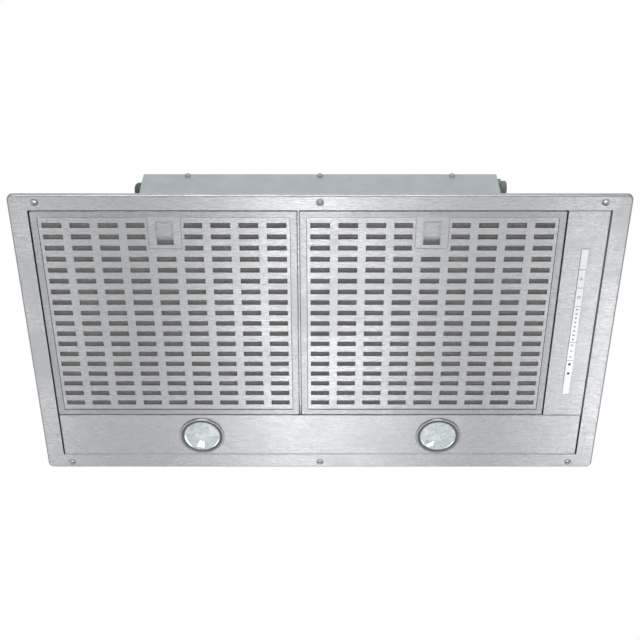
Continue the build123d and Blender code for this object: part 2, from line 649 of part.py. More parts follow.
def filter_dish(side, cx):
    """Latch dish: a drawn tray over the sheet's opening, slotted for the slider, with the
    spring's post behind it."""
    flange_far = spring_far + FILTER_T
    window_near = latch_near - WINDOW_GAP
    window_far = cup_far + WINDOW_GAP
    guide_in = LATCH_WIDTH / 2 + LATCH_GAP
    guide_y = latch_near + GUIDE_LENGTH / 2
    lip_z = latch_z + LATCH_T + LATCH_GAP
    with BuildPart() as dish:
        with BuildSketch(Plane.XY.offset(sheet_z)):
            with Locations((cx, dish_y)):
                Rectangle(DISH_WIDTH + 2 * FILTER_T, DISH_LENGTH + 2 * FILTER_T)
        extrude(amount=dish_floor_z + FILTER_T - sheet_z)
        with BuildSketch(Plane.XY.offset(sheet_z)):
            with Locations((cx, dish_y)):
                Rectangle(DISH_WIDTH, DISH_LENGTH)
        extrude(amount=DISH_DEPTH, mode=Mode.SUBTRACT)
        with BuildSketch(Plane.XY.offset(pack_z)):
            with Locations((cx, (dish_cut_near + flange_far) / 2)):
                Rectangle(2 * (dish_cut_x + DISH_FLANGE), flange_far - dish_cut_near)
            with Locations((cx, dish_y)):
                Rectangle(2 * dish_cut_x, dish_cut_far - dish_cut_near, mode=Mode.SUBTRACT)
        extrude(amount=FILTER_T)
        with BuildSketch(Plane.XY.offset(pack_z)):
            with Locations((cx, spring_far + FILTER_T / 2)):
                Rectangle(4 * SPRING_R, FILTER_T)
        extrude(amount=spring_z + SPRING_R - pack_z)
        with BuildSketch(Plane.XZ.offset(-spring_far)):
            with Locations((cx, spring_z)):
                Circle(SPRING_PIN_R)
        extrude(amount=SPRING_PIN_LENGTH)
        with BuildSketch(Plane.XY.offset(dish_floor_z)):
            with Locations((cx, (window_near + window_far) / 2)):
                Rectangle(PAD_WIDTH + 2 * WINDOW_GAP, window_far - window_near)
        extrude(amount=FILTER_T, mode=Mode.SUBTRACT)
        for guide_side in (-1, 1):
            with BuildSketch(Plane.XY.offset(dish_floor_z + FILTER_T)):
                with Locations((cx + guide_side * (guide_in + GUIDE_T / 2), guide_y)):
                    Rectangle(GUIDE_T, GUIDE_LENGTH)
            extrude(amount=lip_z - dish_floor_z - FILTER_T)
            lip_x = cx + guide_side * (guide_in + (GUIDE_T - GUIDE_LIP) / 2)
            with BuildSketch(Plane.XY.offset(lip_z)):
                with Locations((lip_x, guide_y)):
                    Rectangle(GUIDE_T + GUIDE_LIP, GUIDE_LENGTH)
            extrude(amount=GUIDE_T)
    dish.part.label = f"filter_{side}_dish"
    export_step(dish.part, f"parts/filter_{side}_dish.step")


def latch_slider(side, cx):
    """Slider with its pad, finger cup and the tongue at the frame."""
    tip = open_near + STRAP_SHORT
    cup_y = (cup_near + cup_far) / 2
    with BuildPart() as slider:
        with BuildSketch(Plane.XY.offset(latch_z)):
            with Locations((cx, (latch_near + latch_far) / 2)):
                Rectangle(LATCH_WIDTH, LATCH_LENGTH)
            with Locations((cx, (tip + latch_near) / 2)):
                Rectangle(STRAP_WIDTH, latch_near - tip)
        extrude(amount=LATCH_T)
        with BuildSketch(Plane.XY.offset(latch_z)):
            with Locations((cx, (latch_near + cup_near - CUP_WALL) / 2)):
                Rectangle(PAD_WIDTH, PAD_LENGTH)
        extrude(amount=-PAD_RISE)
        chamfer(slider.faces().sort_by(Axis.Z)[0].edges(), PAD_BEVEL)
        with BuildSketch(Plane.XY.offset(latch_z)):
            with Locations((cx, cup_y)):
                Rectangle(CUP_WIDTH + 2 * CUP_WALL, CUP_LENGTH + 2 * CUP_WALL)
        extrude(amount=cup_top - latch_z)
        with BuildSketch(Plane.XY.offset(latch_z)):
            with Locations((cx, cup_y)):
                Rectangle(CUP_WIDTH, CUP_LENGTH)
        extrude(amount=cup_top - CUP_WALL - latch_z, mode=Mode.SUBTRACT)
    slider.part.label = f"latch_{side}"
    export_step(slider.part, f"parts/latch_{side}.step")


def latch_spring(side, cx):
    """Coil spring between the finger cup and the dish's post."""
    run = SPRING_LENGTH - 2 * SPRING_END_GAP - 2 * SPRING_WIRE_R
    start = spring_near + SPRING_END_GAP + SPRING_WIRE_R
    with BuildPart() as spring:
        with BuildLine() as coil:
            Helix(run / SPRING_TURNS, run, SPRING_R, center=(cx, start, spring_z), direction=(0, 1, 0))
        with BuildSketch(Plane(origin=coil.line @ 0, z_dir=coil.line % 0)):
            Circle(SPRING_WIRE_R)
        sweep(is_frenet=True)
    spring.part.label = f"latch_{side}_spring"
    export_step(spring.part, f"parts/latch_{side}_spring.step")


for side, cx in filter_centres.items():
    filter_rim(side, cx)
    filter_face(side, cx)
    filter_mesh(side, cx)
    filter_back(side, cx)
    filter_dish(side, cx)
    latch_slider(side, cx)
    latch_spring(side, cx)

# ---- Chamber: sloping sheet between the frame and the blower box, parted along its hips ----
skirt_x = open_x + SHEET_T
skirt_near = open_near - SHEET_T
skirt_far = open_far + SHEET_T
neck_x = box_x - GALV_T
neck_near = box_near + GALV_T
neck_far = box_far - GALV_T
skirt_y = (skirt_near + skirt_far) / 2
neck_y = (neck_near + neck_far) / 2
with BuildPart() as chamber:
    with BuildSketch(Plane.XY.offset(SHEET_T)):
        with Locations((0, skirt_y)):
            Rectangle(2 * (skirt_x + GALV_T), skirt_far - skirt_near + 2 * GALV_T)
    extrude(amount=SKIRT_TOP - SHEET_T)
    with BuildSketch(Plane.XY.offset(SKIRT_TOP)):
        with Locations((0, skirt_y)):
            Rectangle(2 * (skirt_x + GALV_T), skirt_far - skirt_near + 2 * GALV_T)
    with BuildSketch(Plane.XY.offset(CHAMBER_TOP)):
        with Locations((0, neck_y)):
            Rectangle(2 * box_x, box_far - box_near)
    loft(ruled=True)
    with BuildSketch(Plane.XY.offset(CHAMBER_TOP)):
        with Locations((0, neck_y)):
            Rectangle(2 * neck_x, neck_far - neck_near)
    extrude(amount=NECK_H)
    with BuildSketch(Plane.XY.offset(SHEET_T)):
        with Locations((0, skirt_y)):
            Rectangle(2 * skirt_x, skirt_far - skirt_near)
    extrude(amount=SKIRT_TOP - SLOPE_DROP - SHEET_T, mode=Mode.SUBTRACT)
    with BuildSketch(Plane.XY.offset(SKIRT_TOP - SLOPE_DROP)):
        with Locations((0, skirt_y)):
            Rectangle(2 * skirt_x, skirt_far - skirt_near)
    with BuildSketch(Plane.XY.offset(CHAMBER_TOP)):
        with Locations((0, neck_y)):
            Rectangle(2 * (neck_x - GALV_T), neck_far - neck_near - 2 * GALV_T)
    loft(ruled=True, mode=Mode.SUBTRACT)
    with BuildSketch(Plane.XY.offset(CHAMBER_TOP)):
        with Locations((0, neck_y)):
            Rectangle(2 * (neck_x - GALV_T), neck_far - neck_near - 2 * GALV_T)
    extrude(amount=NECK_H, mode=Mode.SUBTRACT)


def hip_point(x_side, y_side, share):
    """Point on the plan of a hip line, share 0 at the skirt and 1 at the box."""
    x0 = x_side * (skirt_x + GALV_T)
    y0 = skirt_near - GALV_T if y_side < 0 else skirt_far + GALV_T
    y1 = box_near if y_side < 0 else box_far
    return (x0 + share * (x_side * box_x - x0), y0 + share * (y1 - y0))


def chamber_panel(label, corners):
    """The chamber inside one region of the plan, which runs past the hips' ends."""
    first, last = [hip_point(*corner, -0.05) for corner in corners]
    last_in, first_in = [hip_point(*corner, 1.06) for corner in reversed(corners)]
    middle_out = ((first[0] + last[0]) * 0.52, neck_y + ((first[1] + last[1]) / 2 - neck_y) * 1.04)
    with BuildPart() as panel:
        add(chamber.part)
        with BuildSketch():
            Polygon(first, middle_out, last, last_in, (0, neck_y), first_in, align=None)
        extrude(amount=CHAMBER_TOP + NECK_H, mode=Mode.INTERSECT)
    panel.part.label = label
    export_step(panel.part, f"parts/{label}.step")


chamber_panel("chamber_near", [(-1, -1), (1, -1)])
chamber_panel("chamber_right", [(1, -1), (1, 1)])
chamber_panel("chamber_far", [(1, 1), (-1, 1)])
chamber_panel("chamber_left", [(-1, 1), (-1, -1)])

# ---- Blower box ----
screw_z = BOX_TOP - PAN_SCREW_DROP
with BuildPart() as box_near_panel:
    with BuildSketch(Plane.YZ.offset(-box_x)) as profile:
        with Locations((box_near + BOX_FLANGE / 2, (CHAMBER_TOP + BOX_TOP) / 2)):
            Rectangle(BOX_FLANGE, BOX_TOP - CHAMBER_TOP)
        fillet(profile.vertices().group_by(Axis.Y)[-1].sort_by(Axis.X)[0], BOX_BEND_R)
        with BuildSketch(mode=Mode.SUBTRACT) as inside:
            with Locations((box_near + GALV_T + BOX_FLANGE / 2, (CHAMBER_TOP + lid_z) / 2)):
                Rectangle(BOX_FLANGE, lid_z - CHAMBER_TOP)
            fillet(inside.vertices().group_by(Axis.Y)[-1].sort_by(Axis.X)[0], BOX_BEND_R - GALV_T)
    extrude(amount=BOX_LENGTH)
    with BuildSketch(Plane.XZ.offset(-box_near - 2 * GALV_T)):
        with Locations((0, screw_z)):
            with GridLocations(PAN_SCREW_PITCH, 0, 3, 1):
                Circle(PAN_SHANK_R + PAN_HOLE_GAP)
    extrude(amount=4 * GALV_T, mode=Mode.SUBTRACT)
box_near_panel.part.label = "box_near_panel"
export_step(box_near_panel.part, "parts/box_near_panel.step")

gland_y = box_near + GLAND_FROM_NEAR
gland_z = BOX_TOP - GLAND_DROP
plug_z = BOX_TOP - PLUG_DROP
capacitor_y = box_near + CAPACITOR_FROM_NEAR
capacitor_z = BOX_TOP - CAPACITOR_DROP


def box_side(label, x_side, holes):
    """Side panel with a spot-weld flange behind the near panel."""
    outer = x_side * box_x
    with BuildPart() as panel:
        with BuildSketch(Plane.YZ.offset(outer)) as plate:
            with Locations(((neck_near + neck_far) / 2, (CHAMBER_TOP + lid_z) / 2)):
                Rectangle(neck_far - neck_near, lid_z - CHAMBER_TOP)
            chamfer(plate.vertices().group_by(Axis.Y)[-1].sort_by(Axis.X)[0], BOX_BEND_R)
            for y, z, r in holes:
                with Locations((y, z)):
                    Circle(r, mode=Mode.SUBTRACT)
        extrude(amount=-x_side * GALV_T)
        with BuildSketch(Plane.XY.offset(CHAMBER_TOP + NECK_H + GALV_T)):
            with Locations((outer - x_side * (GALV_T + BOX_FLANGE) / 2, neck_near + GALV_T / 2)):
                Rectangle(BOX_FLANGE + GALV_T, GALV_T)
        extrude(amount=lid_z - BOX_BEND_R - CHAMBER_TOP - NECK_H - GALV_T)
    panel.part.label = label
    export_step(panel.part, f"parts/{label}.step")


box_side("box_right_panel", 1, [(gland_y, gland_z, GLAND_THREAD_R + PAN_HOLE_GAP)])
box_side(
    "box_left_panel",
    -1,
    [
        (gland_y, plug_z, PLUG_STEM_R + PAN_HOLE_GAP),
        (capacitor_y, capacitor_z, CAPACITOR_STUD_R + PAN_HOLE_GAP),
    ],
)

with BuildPart() as box_far_panel:
    with BuildSketch(Plane.XY.offset(CHAMBER_TOP)):
        with Locations((0, neck_far + GALV_T / 2)):
            Rectangle(2 * box_x, GALV_T)
    extrude(amount=lid_z - CHAMBER_TOP)
box_far_panel.part.label = "box_far_panel"
export_step(box_far_panel.part, "parts/box_far_panel.step")

lid_near = box_near + BOX_FLANGE
tongue_x = neck_x - BOX_FLANGE
duct_hole_r = COLLAR_R - 2 * COLLAR_T
with BuildPart() as box_top_panel:
    with BuildSketch(Plane.XY.offset(lid_z)):
        with Locations((0, (lid_near + box_far) / 2)):
            Rectangle(2 * box_x, box_far - lid_near)
    extrude(amount=GALV_T)
    with BuildSketch(Plane.YZ.offset(-tongue_x)) as joggle:
        joggle_run = lid_near + GALV_T - neck_near
        with Locations((neck_near + joggle_run / 2, lid_z - LID_TONGUE_H / 2)):
            Rectangle(joggle_run, LID_TONGUE_H)
        fillet(joggle.vertices().group_by(Axis.Y)[-1].sort_by(Axis.X)[0], BOX_BEND_R - GALV_T / 2)
        with BuildSketch(mode=Mode.SUBTRACT) as inside:
            with Locations((neck_near + GALV_T + joggle_run / 2, lid_z - GALV_T - LID_TONGUE_H / 2)):
                Rectangle(joggle_run, LID_TONGUE_H)
            fillet(
                inside.vertices().group_by(Axis.Y)[-1].sort_by(Axis.X)[0], BOX_BEND_R - 1.5 * GALV_T
            )
    extrude(amount=2 * tongue_x)
    with BuildSketch(Plane.XY.offset(lid_z)):
        with Locations((0, collar_y)):
            Circle(duct_hole_r)
    extrude(amount=GALV_T, mode=Mode.SUBTRACT)
    with BuildSketch(Plane.XZ.offset(-neck_near - 2 * GALV_T)):
        with Locations((0, screw_z)):
            with GridLocations(PAN_SCREW_PITCH, 0, 3, 1):
                Circle(PAN_SHANK_R + PAN_HOLE_GAP)
    extrude(amount=3 * GALV_T, mode=Mode.SUBTRACT)
    with BuildSketch(Plane.XY.offset(lid_z)):
        with Locations((0, collar_y)):
            with PolarLocations(COLLAR_SCREW_R, 4, start_angle=45):
                Circle(PAN_SHANK_R + PAN_HOLE_GAP)
    extrude(amount=GALV_T, mode=Mode.SUBTRACT)
box_top_panel.part.label = "box_top_panel"
export_step(box_top_panel.part, "parts/box_top_panel.step")

screw_profile = [
    (0, -PAN_SHANK_LENGTH),
    (PAN_SHANK_R * 0.6, -PAN_SHANK_LENGTH),
    (PAN_SHANK_R, -PAN_SHANK_LENGTH + PAN_SHANK_R),
    (PAN_SHANK_R, 0),
    (PAN_HEAD_R, 0),
    (PAN_HEAD_R, PAN_HEAD_H * 0.45),
    (PAN_HEAD_R * 0.82, PAN_HEAD_H * 0.85),
    (PAN_HEAD_R * 0.5, PAN_HEAD_H),
    (0, PAN_HEAD_H),
]
with BuildPart() as pan_screw:
    with BuildSketch(Plane.XZ):
        Polygon(*screw_profile, align=None)
    revolve(axis=Axis.Z)
    with BuildSketch(Plane.XY.offset(PAN_HEAD_H)):
        Rectangle(PAN_HEAD_R, PAN_HEAD_H * 0.3)
        Rectangle(PAN_HEAD_H * 0.3, PAN_HEAD_R)
    extrude(amount=-PAN_HEAD_H * 0.6, mode=Mode.SUBTRACT)

with BuildPart() as box_screws:
    with Locations(Plane(origin=(0, box_near, screw_z), x_dir=(1, 0, 0), z_dir=(0, -1, 0))):
        with GridLocations(PAN_SCREW_PITCH, 0, 3, 1):
            add(pan_screw.part)
    with Locations((0, collar_y, BOX_TOP + COLLAR_FLANGE_T)):
        with PolarLocations(COLLAR_SCREW_R, 4, start_angle=45):
            add(pan_screw.part)
box_screws.part.label = "box_screws"
export_step(box_screws.part, "parts/box_screws.step")

# ---- Exhaust collar with its two non-return flaps ----
ledge_z = flap_z - FLAP_KNUCKLE_T / 2 - FLAP_T * 0.7 - LEDGE_GAP - LEDGE_T
with BuildPart() as exhaust_collar:
    with BuildSketch(Plane.XY.offset(BOX_TOP)):
        with Locations((0, collar_y)):
            Circle(COLLAR_FLANGE_R)
            with PolarLocations(COLLAR_SCREW_R, 4, start_angle=45):
                Circle(PAN_SHANK_R + PAN_HOLE_GAP, mode=Mode.SUBTRACT)
    extrude(amount=COLLAR_FLANGE_T)
    with BuildSketch(Plane.XY.offset(BOX_TOP)):
        with Locations((0, collar_y)):
            Circle(COLLAR_R)
    extrude(amount=COLLAR_H)
    with BuildSketch(Plane.XY.offset(BOX_TOP)):
        with Locations((0, collar_y)):
            Circle(COLLAR_R - COLLAR_T)
    extrude(amount=COLLAR_H, mode=Mode.SUBTRACT)
    with BuildSketch(Plane.XY.offset(ledge_z)):
        with Locations((0, collar_y)):
            Circle(COLLAR_R - COLLAR_T / 2)
            Circle(COLLAR_R - COLLAR_T - LEDGE_WIDTH, mode=Mode.SUBTRACT)
    extrude(amount=LEDGE_T)
    with BuildSketch(Plane.YZ.offset(-COLLAR_R)):
        with Locations((collar_y, flap_z)):
            Circle(SPINDLE_R + SHAFT_FIT)
    extrude(amount=2 * COLLAR_R, mode=Mode.SUBTRACT)
exhaust_collar.part.label = "exhaust_collar"
export_step(exhaust_collar.part, "parts/exhaust_collar.step")

spindle_half = COLLAR_R - 0.1 * COLLAR_T
with BuildPart() as flap_spindle:
    with BuildSketch(Plane.YZ.offset(-spindle_half)):
        with Locations((collar_y, flap_z)):
            Circle(SPINDLE_R)
    extrude(amount=2 * spindle_half)
flap_spindle.part.label = "flap_spindle"
export_step(flap_spindle.part, "parts/flap_spindle.step")

knuckle_in = SPINDLE_R + FLAP_KNUCKLE_FIT
knuckle_out = knuckle_in + FLAP_KNUCKLE_T
knuckle_pitch = 2 * (FLAP_R - 2 * knuckle_out) / (2 * FLAP_KNUCKLE_COUNT)
flap_bottom = ledge_z + LEDGE_T + LEDGE_GAP


def flap(label, y_side, first):
    """Half disc that hangs by knuckles on every other place of the spindle."""
    places = [
        -knuckle_pitch * (FLAP_KNUCKLE_COUNT - 0.5) + knuckle_pitch * i
        for i in range(first, 2 * FLAP_KNUCKLE_COUNT, 2)
    ]
    inner = knuckle_out + FLAP_KNUCKLE_GAP
    width = knuckle_pitch - 2 * FLAP_KNUCKLE_GAP
    with BuildPart() as leaf:
        with BuildSketch(Plane.XY.offset(flap_bottom)):
            with Locations((0, collar_y)):
                Circle(FLAP_R)
                with Locations((0, -y_side * (FLAP_R - inner))):
                    Rectangle(2 * FLAP_R, 2 * FLAP_R, mode=Mode.SUBTRACT)
                for x in places:
                    with Locations((x, y_side * (knuckle_in + knuckle_out + inner) / 3)):
                        Rectangle(width, inner * 0.6)
        extrude(amount=FLAP_T)
        for x in places:
            with BuildSketch(Plane.YZ.offset(x - width / 2)):
                with Locations((collar_y, flap_z)):
                    Circle(knuckle_out)
            extrude(amount=width)
        with BuildSketch(Plane.YZ.offset(-FLAP_R)):
            with Locations((collar_y, flap_z)):
                Circle(knuckle_in)
        extrude(amount=2 * FLAP_R, mode=Mode.SUBTRACT)
    leaf.part.label = label
    export_step(leaf.part, f"parts/{label}.step")


flap("flap_near", -1, 0)
flap("flap_far", 1, 1)

# ---- Fan: scroll, outlet adapter, impeller and motor ----
spiral_arcs = [
    (-SCROLL_STEP / 2, -SCROLL_STEP / 2, SCROLL_FIRST_R, 180),
    (SCROLL_STEP / 2, -SCROLL_STEP / 2, SCROLL_FIRST_R + SCROLL_STEP, 270),
    (SCROLL_STEP / 2, SCROLL_STEP / 2, SCROLL_FIRST_R + 2 * SCROLL_STEP, 360),
]
outlet_top = SCROLL_OUTLET_Z - shaft_z


def scroll_outline(wall):
    """Closed outline of the scroll seen along its shaft, a wall's thickness outside the air."""
    start = math.degrees(
        math.acos((cutoff_y - wall + SCROLL_STEP / 2) / (SCROLL_FIRST_R + wall))
    )
    with BuildSketch() as outline:
        with BuildLine():
            for cy, cz, r, end in spiral_arcs:
                arc = CenterArc((cy, cz), r + wall, start, end - start)
                first = arc @ 0 if end == 180 else first
                start = end
            Polyline(
                arc @ 1,
                (scroll_right + wall, outlet_top),
                (cutoff_y - wall, outlet_top),
                first,
            )
        make_face()
    return outline.sketch


def across(x):
    """Sketch plane square to the shaft, with its origin on the shaft's axis."""
    return Plane(origin=(x, shaft_y, shaft_z), x_dir=(0, 1, 0), z_dir=(1, 0, 0))


half_scroll = SCROLL_WIDTH / 2
with BuildPart() as scroll_shell:
    with BuildSketch(across(-half_scroll)):
        add(scroll_outline(GALV_T))
        add(scroll_outline(0), mode=Mode.SUBTRACT)
    extrude(amount=SCROLL_WIDTH)
scroll_shell.part.label = "scroll_shell"
export_step(scroll_shell.part, "parts/scroll_shell.step")


def scroll_side(label, x_side):
    """Side plate of the scroll with a turned inlet lip."""
    with BuildPart() as plate:
        with BuildSketch(across(x_side * half_scroll)):
            add(scroll_outline(GALV_T))
        extrude(amount=x_side * GALV_T)
        with BuildSketch(across(x_side * half_scroll)):
            Circle(INLET_R + GALV_T)
        extrude(amount=x_side * (GALV_T + INLET_LIP))
        with BuildSketch(across(x_side * half_scroll)):
            Circle(INLET_R)
        extrude(amount=x_side * (GALV_T + INLET_LIP), mode=Mode.SUBTRACT)
    plate.part.label = label
    export_step(plate.part, f"parts/{label}.step")


scroll_side("scroll_side_left", -1)
scroll_side("scroll_side_right", 1)

outlet_y = shaft_y + (cutoff_y + scroll_right) / 2
outlet_span = scroll_right - cutoff_y
outer_width = SCROLL_WIDTH + 2 * GALV_T
with BuildPart() as outlet_adapter:
    with BuildSketch(Plane.XY.offset(SCROLL_OUTLET_Z)):
        with Locations((0, outlet_y)):
            Rectangle(outer_width, outlet_span + 2 * GALV_T)
    with BuildSketch(Plane.XY.offset(lid_z)):
        with Locations((0, collar_y)):
            Circle(duct_hole_r + GALV_T)
    loft()
    with BuildSketch(Plane.XY.offset(SCROLL_OUTLET_Z)):
        with Locations((0, outlet_y)):
            Rectangle(outer_width + 2 * OUTLET_RING, outlet_span + 2 * GALV_T + 2 * OUTLET_RING)
    extrude(amount=GALV_T)
    with BuildSketch(Plane.XY.offset(lid_z - GALV_T)):
        with Locations((0, collar_y)):
            Circle(duct_hole_r + GALV_T + OUTLET_RING)
    extrude(amount=GALV_T)
    with BuildSketch(Plane.XY.offset(SCROLL_OUTLET_Z)):
        with Locations((0, outlet_y)):
            Rectangle(SCROLL_WIDTH, outlet_span)
    with BuildSketch(Plane.XY.offset(lid_z)):
        with Locations((0, collar_y)):
            Circle(duct_hole_r)
    loft(mode=Mode.SUBTRACT)
outlet_adapter.part.label = "outlet_adapter"
export_step(outlet_adapter.part, "parts/outlet_adapter.step")

blade_mid = (IMPELLER_R + IMPELLER_INNER_R) / 2
blade_run = IMPELLER_R - IMPELLER_INNER_R
with BuildSketch() as blade:
    with BuildLine():
        front = ThreePointArc(
            (IMPELLER_INNER_R + BLADE_T / 2, 0),
            (blade_mid, -blade_run * 0.28),
            (IMPELLER_R - BLADE_T, blade_run * 0.12),
        )
        back = ThreePointArc(
            (IMPELLER_INNER_R + BLADE_T / 2, -BLADE_T),
            (blade_mid, -blade_run * 0.28 - BLADE_T),
            (IMPELLER_R - BLADE_T, blade_run * 0.12 - BLADE_T),
        )
        Line(front @ 0, back @ 0)
        Line(front @ 1, back @ 1)
    make_face()

half_width = IMPELLER_WIDTH / 2


def blade_row(x0, x1):
    """Loose blades between two planes across the shaft."""
    with BuildPart() as row:
        with BuildSketch(across(x0)):
            with PolarLocations(0, BLADE_COUNT):
                add(blade.sketch)
        extrude(amount=x1 - x0)
    return row.part.solids()


impeller_blades = Compound(
    [
        *blade_row(-half_width + IMPELLER_RING_T, 0),
        *blade_row(IMPELLER_DISC_T, half_width - IMPELLER_RING_T),
    ]
)
impeller_blades.label = "impeller_blades"
export_step(impeller_blades, "parts/impeller_blades.step")

with BuildPart() as impeller_rings:
    for ring_x in (-half_width, half_width - IMPELLER_RING_T):
        with BuildSketch(across(ring_x)):
            Circle(IMPELLER_R)
            Circle(IMPELLER_INNER_R, mode=Mode.SUBTRACT)
        extrude(amount=IMPELLER_RING_T)
    with BuildSketch(across(0)):
        Circle(IMPELLER_R)
    extrude(amount=IMPELLER_DISC_T)
    with BuildSketch(across(-IMPELLER_DISC_T)):
        Circle(HUB_R)
    extrude(amount=HUB_LENGTH)
    with BuildSketch(across(-IMPELLER_DISC_T)):
        Circle(SHAFT_R + SHAFT_FIT)
    extrude(amount=HUB_LENGTH, mode=Mode.SUBTRACT)
impeller_rings.part.label = "impeller_rings"
export_step(impeller_rings.part, "parts/impeller_rings.step")

motor_x1 = -IMPELLER_DISC_T - MOTOR_TO_HUB
motor_x0 = motor_x1 - MOTOR_LENGTH
with BuildPart() as motor:
    with BuildSketch(across(motor_x0)):
        Circle(MOTOR_CAP_R)
    extrude(amount=MOTOR_LENGTH)
    with BuildSketch(across(motor_x0 + MOTOR_CAP_H)):
        Circle(MOTOR_R)
    extrude(amount=MOTOR_LENGTH - 2 * MOTOR_CAP_H)
    with BuildSketch(across(motor_x0)):
        Circle(BEARING_R)
    extrude(amount=MOTOR_LENGTH, mode=Mode.SUBTRACT)
motor.part.label = "motor"
export_step(motor.part, "parts/motor.step")

with BuildPart() as motor_bearings:
    for bearing_x in (motor_x0, motor_x1 - BEARING_WIDTH):
        with BuildSketch(across(bearing_x)):
            Circle(BEARING_R)
            Circle(SHAFT_R + BEARING_FIT, mode=Mode.SUBTRACT)
        extrude(amount=BEARING_WIDTH)
motor_bearings.part.label = "motor_bearings"
export_step(motor_bearings.part, "parts/motor_bearings.step")

shaft_x0 = motor_x0
shaft_x1 = HUB_LENGTH - IMPELLER_DISC_T + SHAFT_PAST_HUB
with BuildPart() as impeller_shaft:
    with BuildSketch(across(shaft_x0)):
        Circle(SHAFT_R)
    extrude(amount=shaft_x1 - shaft_x0)
    chamfer(impeller_shaft.edges().filter_by(GeomType.CIRCLE), SHAFT_R / 8)
impeller_shaft.part.label = "impeller_shaft"
export_step(impeller_shaft.part, "parts/impeller_shaft.step")

bracket_x = motor_x0 - BRACKET_T
side_plate_x = -half_scroll - GALV_T
with BuildPart() as motor_bracket:
    with BuildSketch(across(bracket_x)):
        with PolarLocations(0, 3, start_angle=90):
            with Locations((BRACKET_ARM_R / 2, 0)):
                Rectangle(BRACKET_ARM_R, BRACKET_ARM_WIDTH)
        Circle(BRACKET_RING_R)
        Circle(BRACKET_BORE_R, mode=Mode.SUBTRACT)
    extrude(amount=BRACKET_T)
    with BuildSketch(across(bracket_x)):
        with PolarLocations(BRACKET_ARM_R - BRACKET_FOOT / 2, 3, start_angle=90):
            Rectangle(BRACKET_FOOT, BRACKET_ARM_WIDTH)
    extrude(amount=side_plate_x - bracket_x)
motor_bracket.part.label = "motor_bracket"
export_step(motor_bracket.part, "parts/motor_bracket.step")

# ---- Electrical parts ----
power_x0 = neck_x - POWER_BOX_SIZE[0]
power_y = box_near + POWER_BOX_FROM_NEAR + POWER_BOX_SIZE[1] / 2
power_top = BOX_TOP - POWER_BOX_DROP
power_bottom = power_top - POWER_BOX_SIZE[2]
with BuildPart() as power_box:
    with BuildSketch(Plane.YZ.offset(power_x0)) as outside:
        with Locations((power_y, (power_top + power_bottom) / 2)):
            Rectangle(POWER_BOX_SIZE[1], POWER_BOX_SIZE[2])
        fillet(outside.vertices(), 1.5 * POWER_BOX_WALL)
    extrude(amount=POWER_BOX_SIZE[0])
    offset(amount=-POWER_BOX_WALL, openings=power_box.faces().sort_by(Axis.X)[-1])
power_box.part.label = "power_box"
export_step(power_box.part, "parts/power_box.step")

capacitor_plane = Plane(
    origin=(-neck_x, capacitor_y, capacitor_z), x_dir=(0, 1, 0), z_dir=(1, 0, 0)
)
with BuildPart() as capacitor:
    with BuildSketch(capacitor_plane):
        Circle(CAPACITOR_R)
    extrude(amount=CAPACITOR_LENGTH)
    fillet(capacitor.edges().filter_by(GeomType.CIRCLE), 2 * GALV_T)
    with BuildSketch(capacitor_plane):
        Circle(CAPACITOR_STUD_R)
    extrude(amount=-(GALV_T + CAPACITOR_NUT_H + CAPACITOR_STUD_R / 2))
    with BuildSketch(capacitor_plane.offset(-GALV_T)):
        RegularPolygon(CAPACITOR_NUT_R, 6)
    extrude(amount=-CAPACITOR_NUT_H)
capacitor.part.label = "capacitor"
export_step(capacitor.part, "parts/capacitor.step")

gland_plane = Plane(origin=(box_x, gland_y, gland_z), x_dir=(0, 1, 0), z_dir=(1, 0, 0))
with BuildPart() as cable_gland:
    with BuildSketch(gland_plane):
        RegularPolygon(GLAND_HEX_R, 6, rotation=30)
    extrude(amount=GLAND_HEX_H)
    with BuildSketch(gland_plane.offset(GLAND_HEX_H)):
        Circle(GLAND_NOSE_R)
    extrude(amount=GLAND_NOSE_H)
    fillet(cable_gland.faces().sort_by(Axis.X)[-1].edges(), GLAND_NOSE_R / 4)
    with BuildSketch(gland_plane):
        Circle(GLAND_THREAD_R)
    extrude(amount=-2 * GLAND_NUT_H)
    with BuildSketch(gland_plane.offset(-2 * GLAND_NUT_H)):
        Circle(GLAND_BORE_R)
    extrude(amount=2 * GLAND_NUT_H + GLAND_HEX_H + GLAND_NOSE_H, mode=Mode.SUBTRACT)
cable_gland.part.label = "cable_gland"
export_step(cable_gland.part, "parts/cable_gland.step")

plug_plane = Plane(origin=(-box_x, gland_y, plug_z), x_dir=(0, 1, 0), z_dir=(-1, 0, 0))
with BuildPart() as blanking_plug:
    with BuildSketch(plug_plane):
        Circle(PLUG_R)
    extrude(amount=PLUG_H)
    fillet(blanking_plug.faces().sort_by(Axis.X)[0].edges(), PLUG_R * 0.6)
    with BuildSketch(plug_plane):
        Circle(PLUG_STEM_R)
    extrude(amount=-PLUG_STEM_LENGTH)
blanking_plug.part.label = "blanking_plug"
export_step(blanking_plug.part, "parts/blanking_plug.step")

# ---- Lamps ----
lens_edge = LENS_R - LAMP_HOLE_GAP
lens_bow_z = LENS_LOW_Z + (LENS_SIDE_Z - LENS_LOW_Z) * 0.26


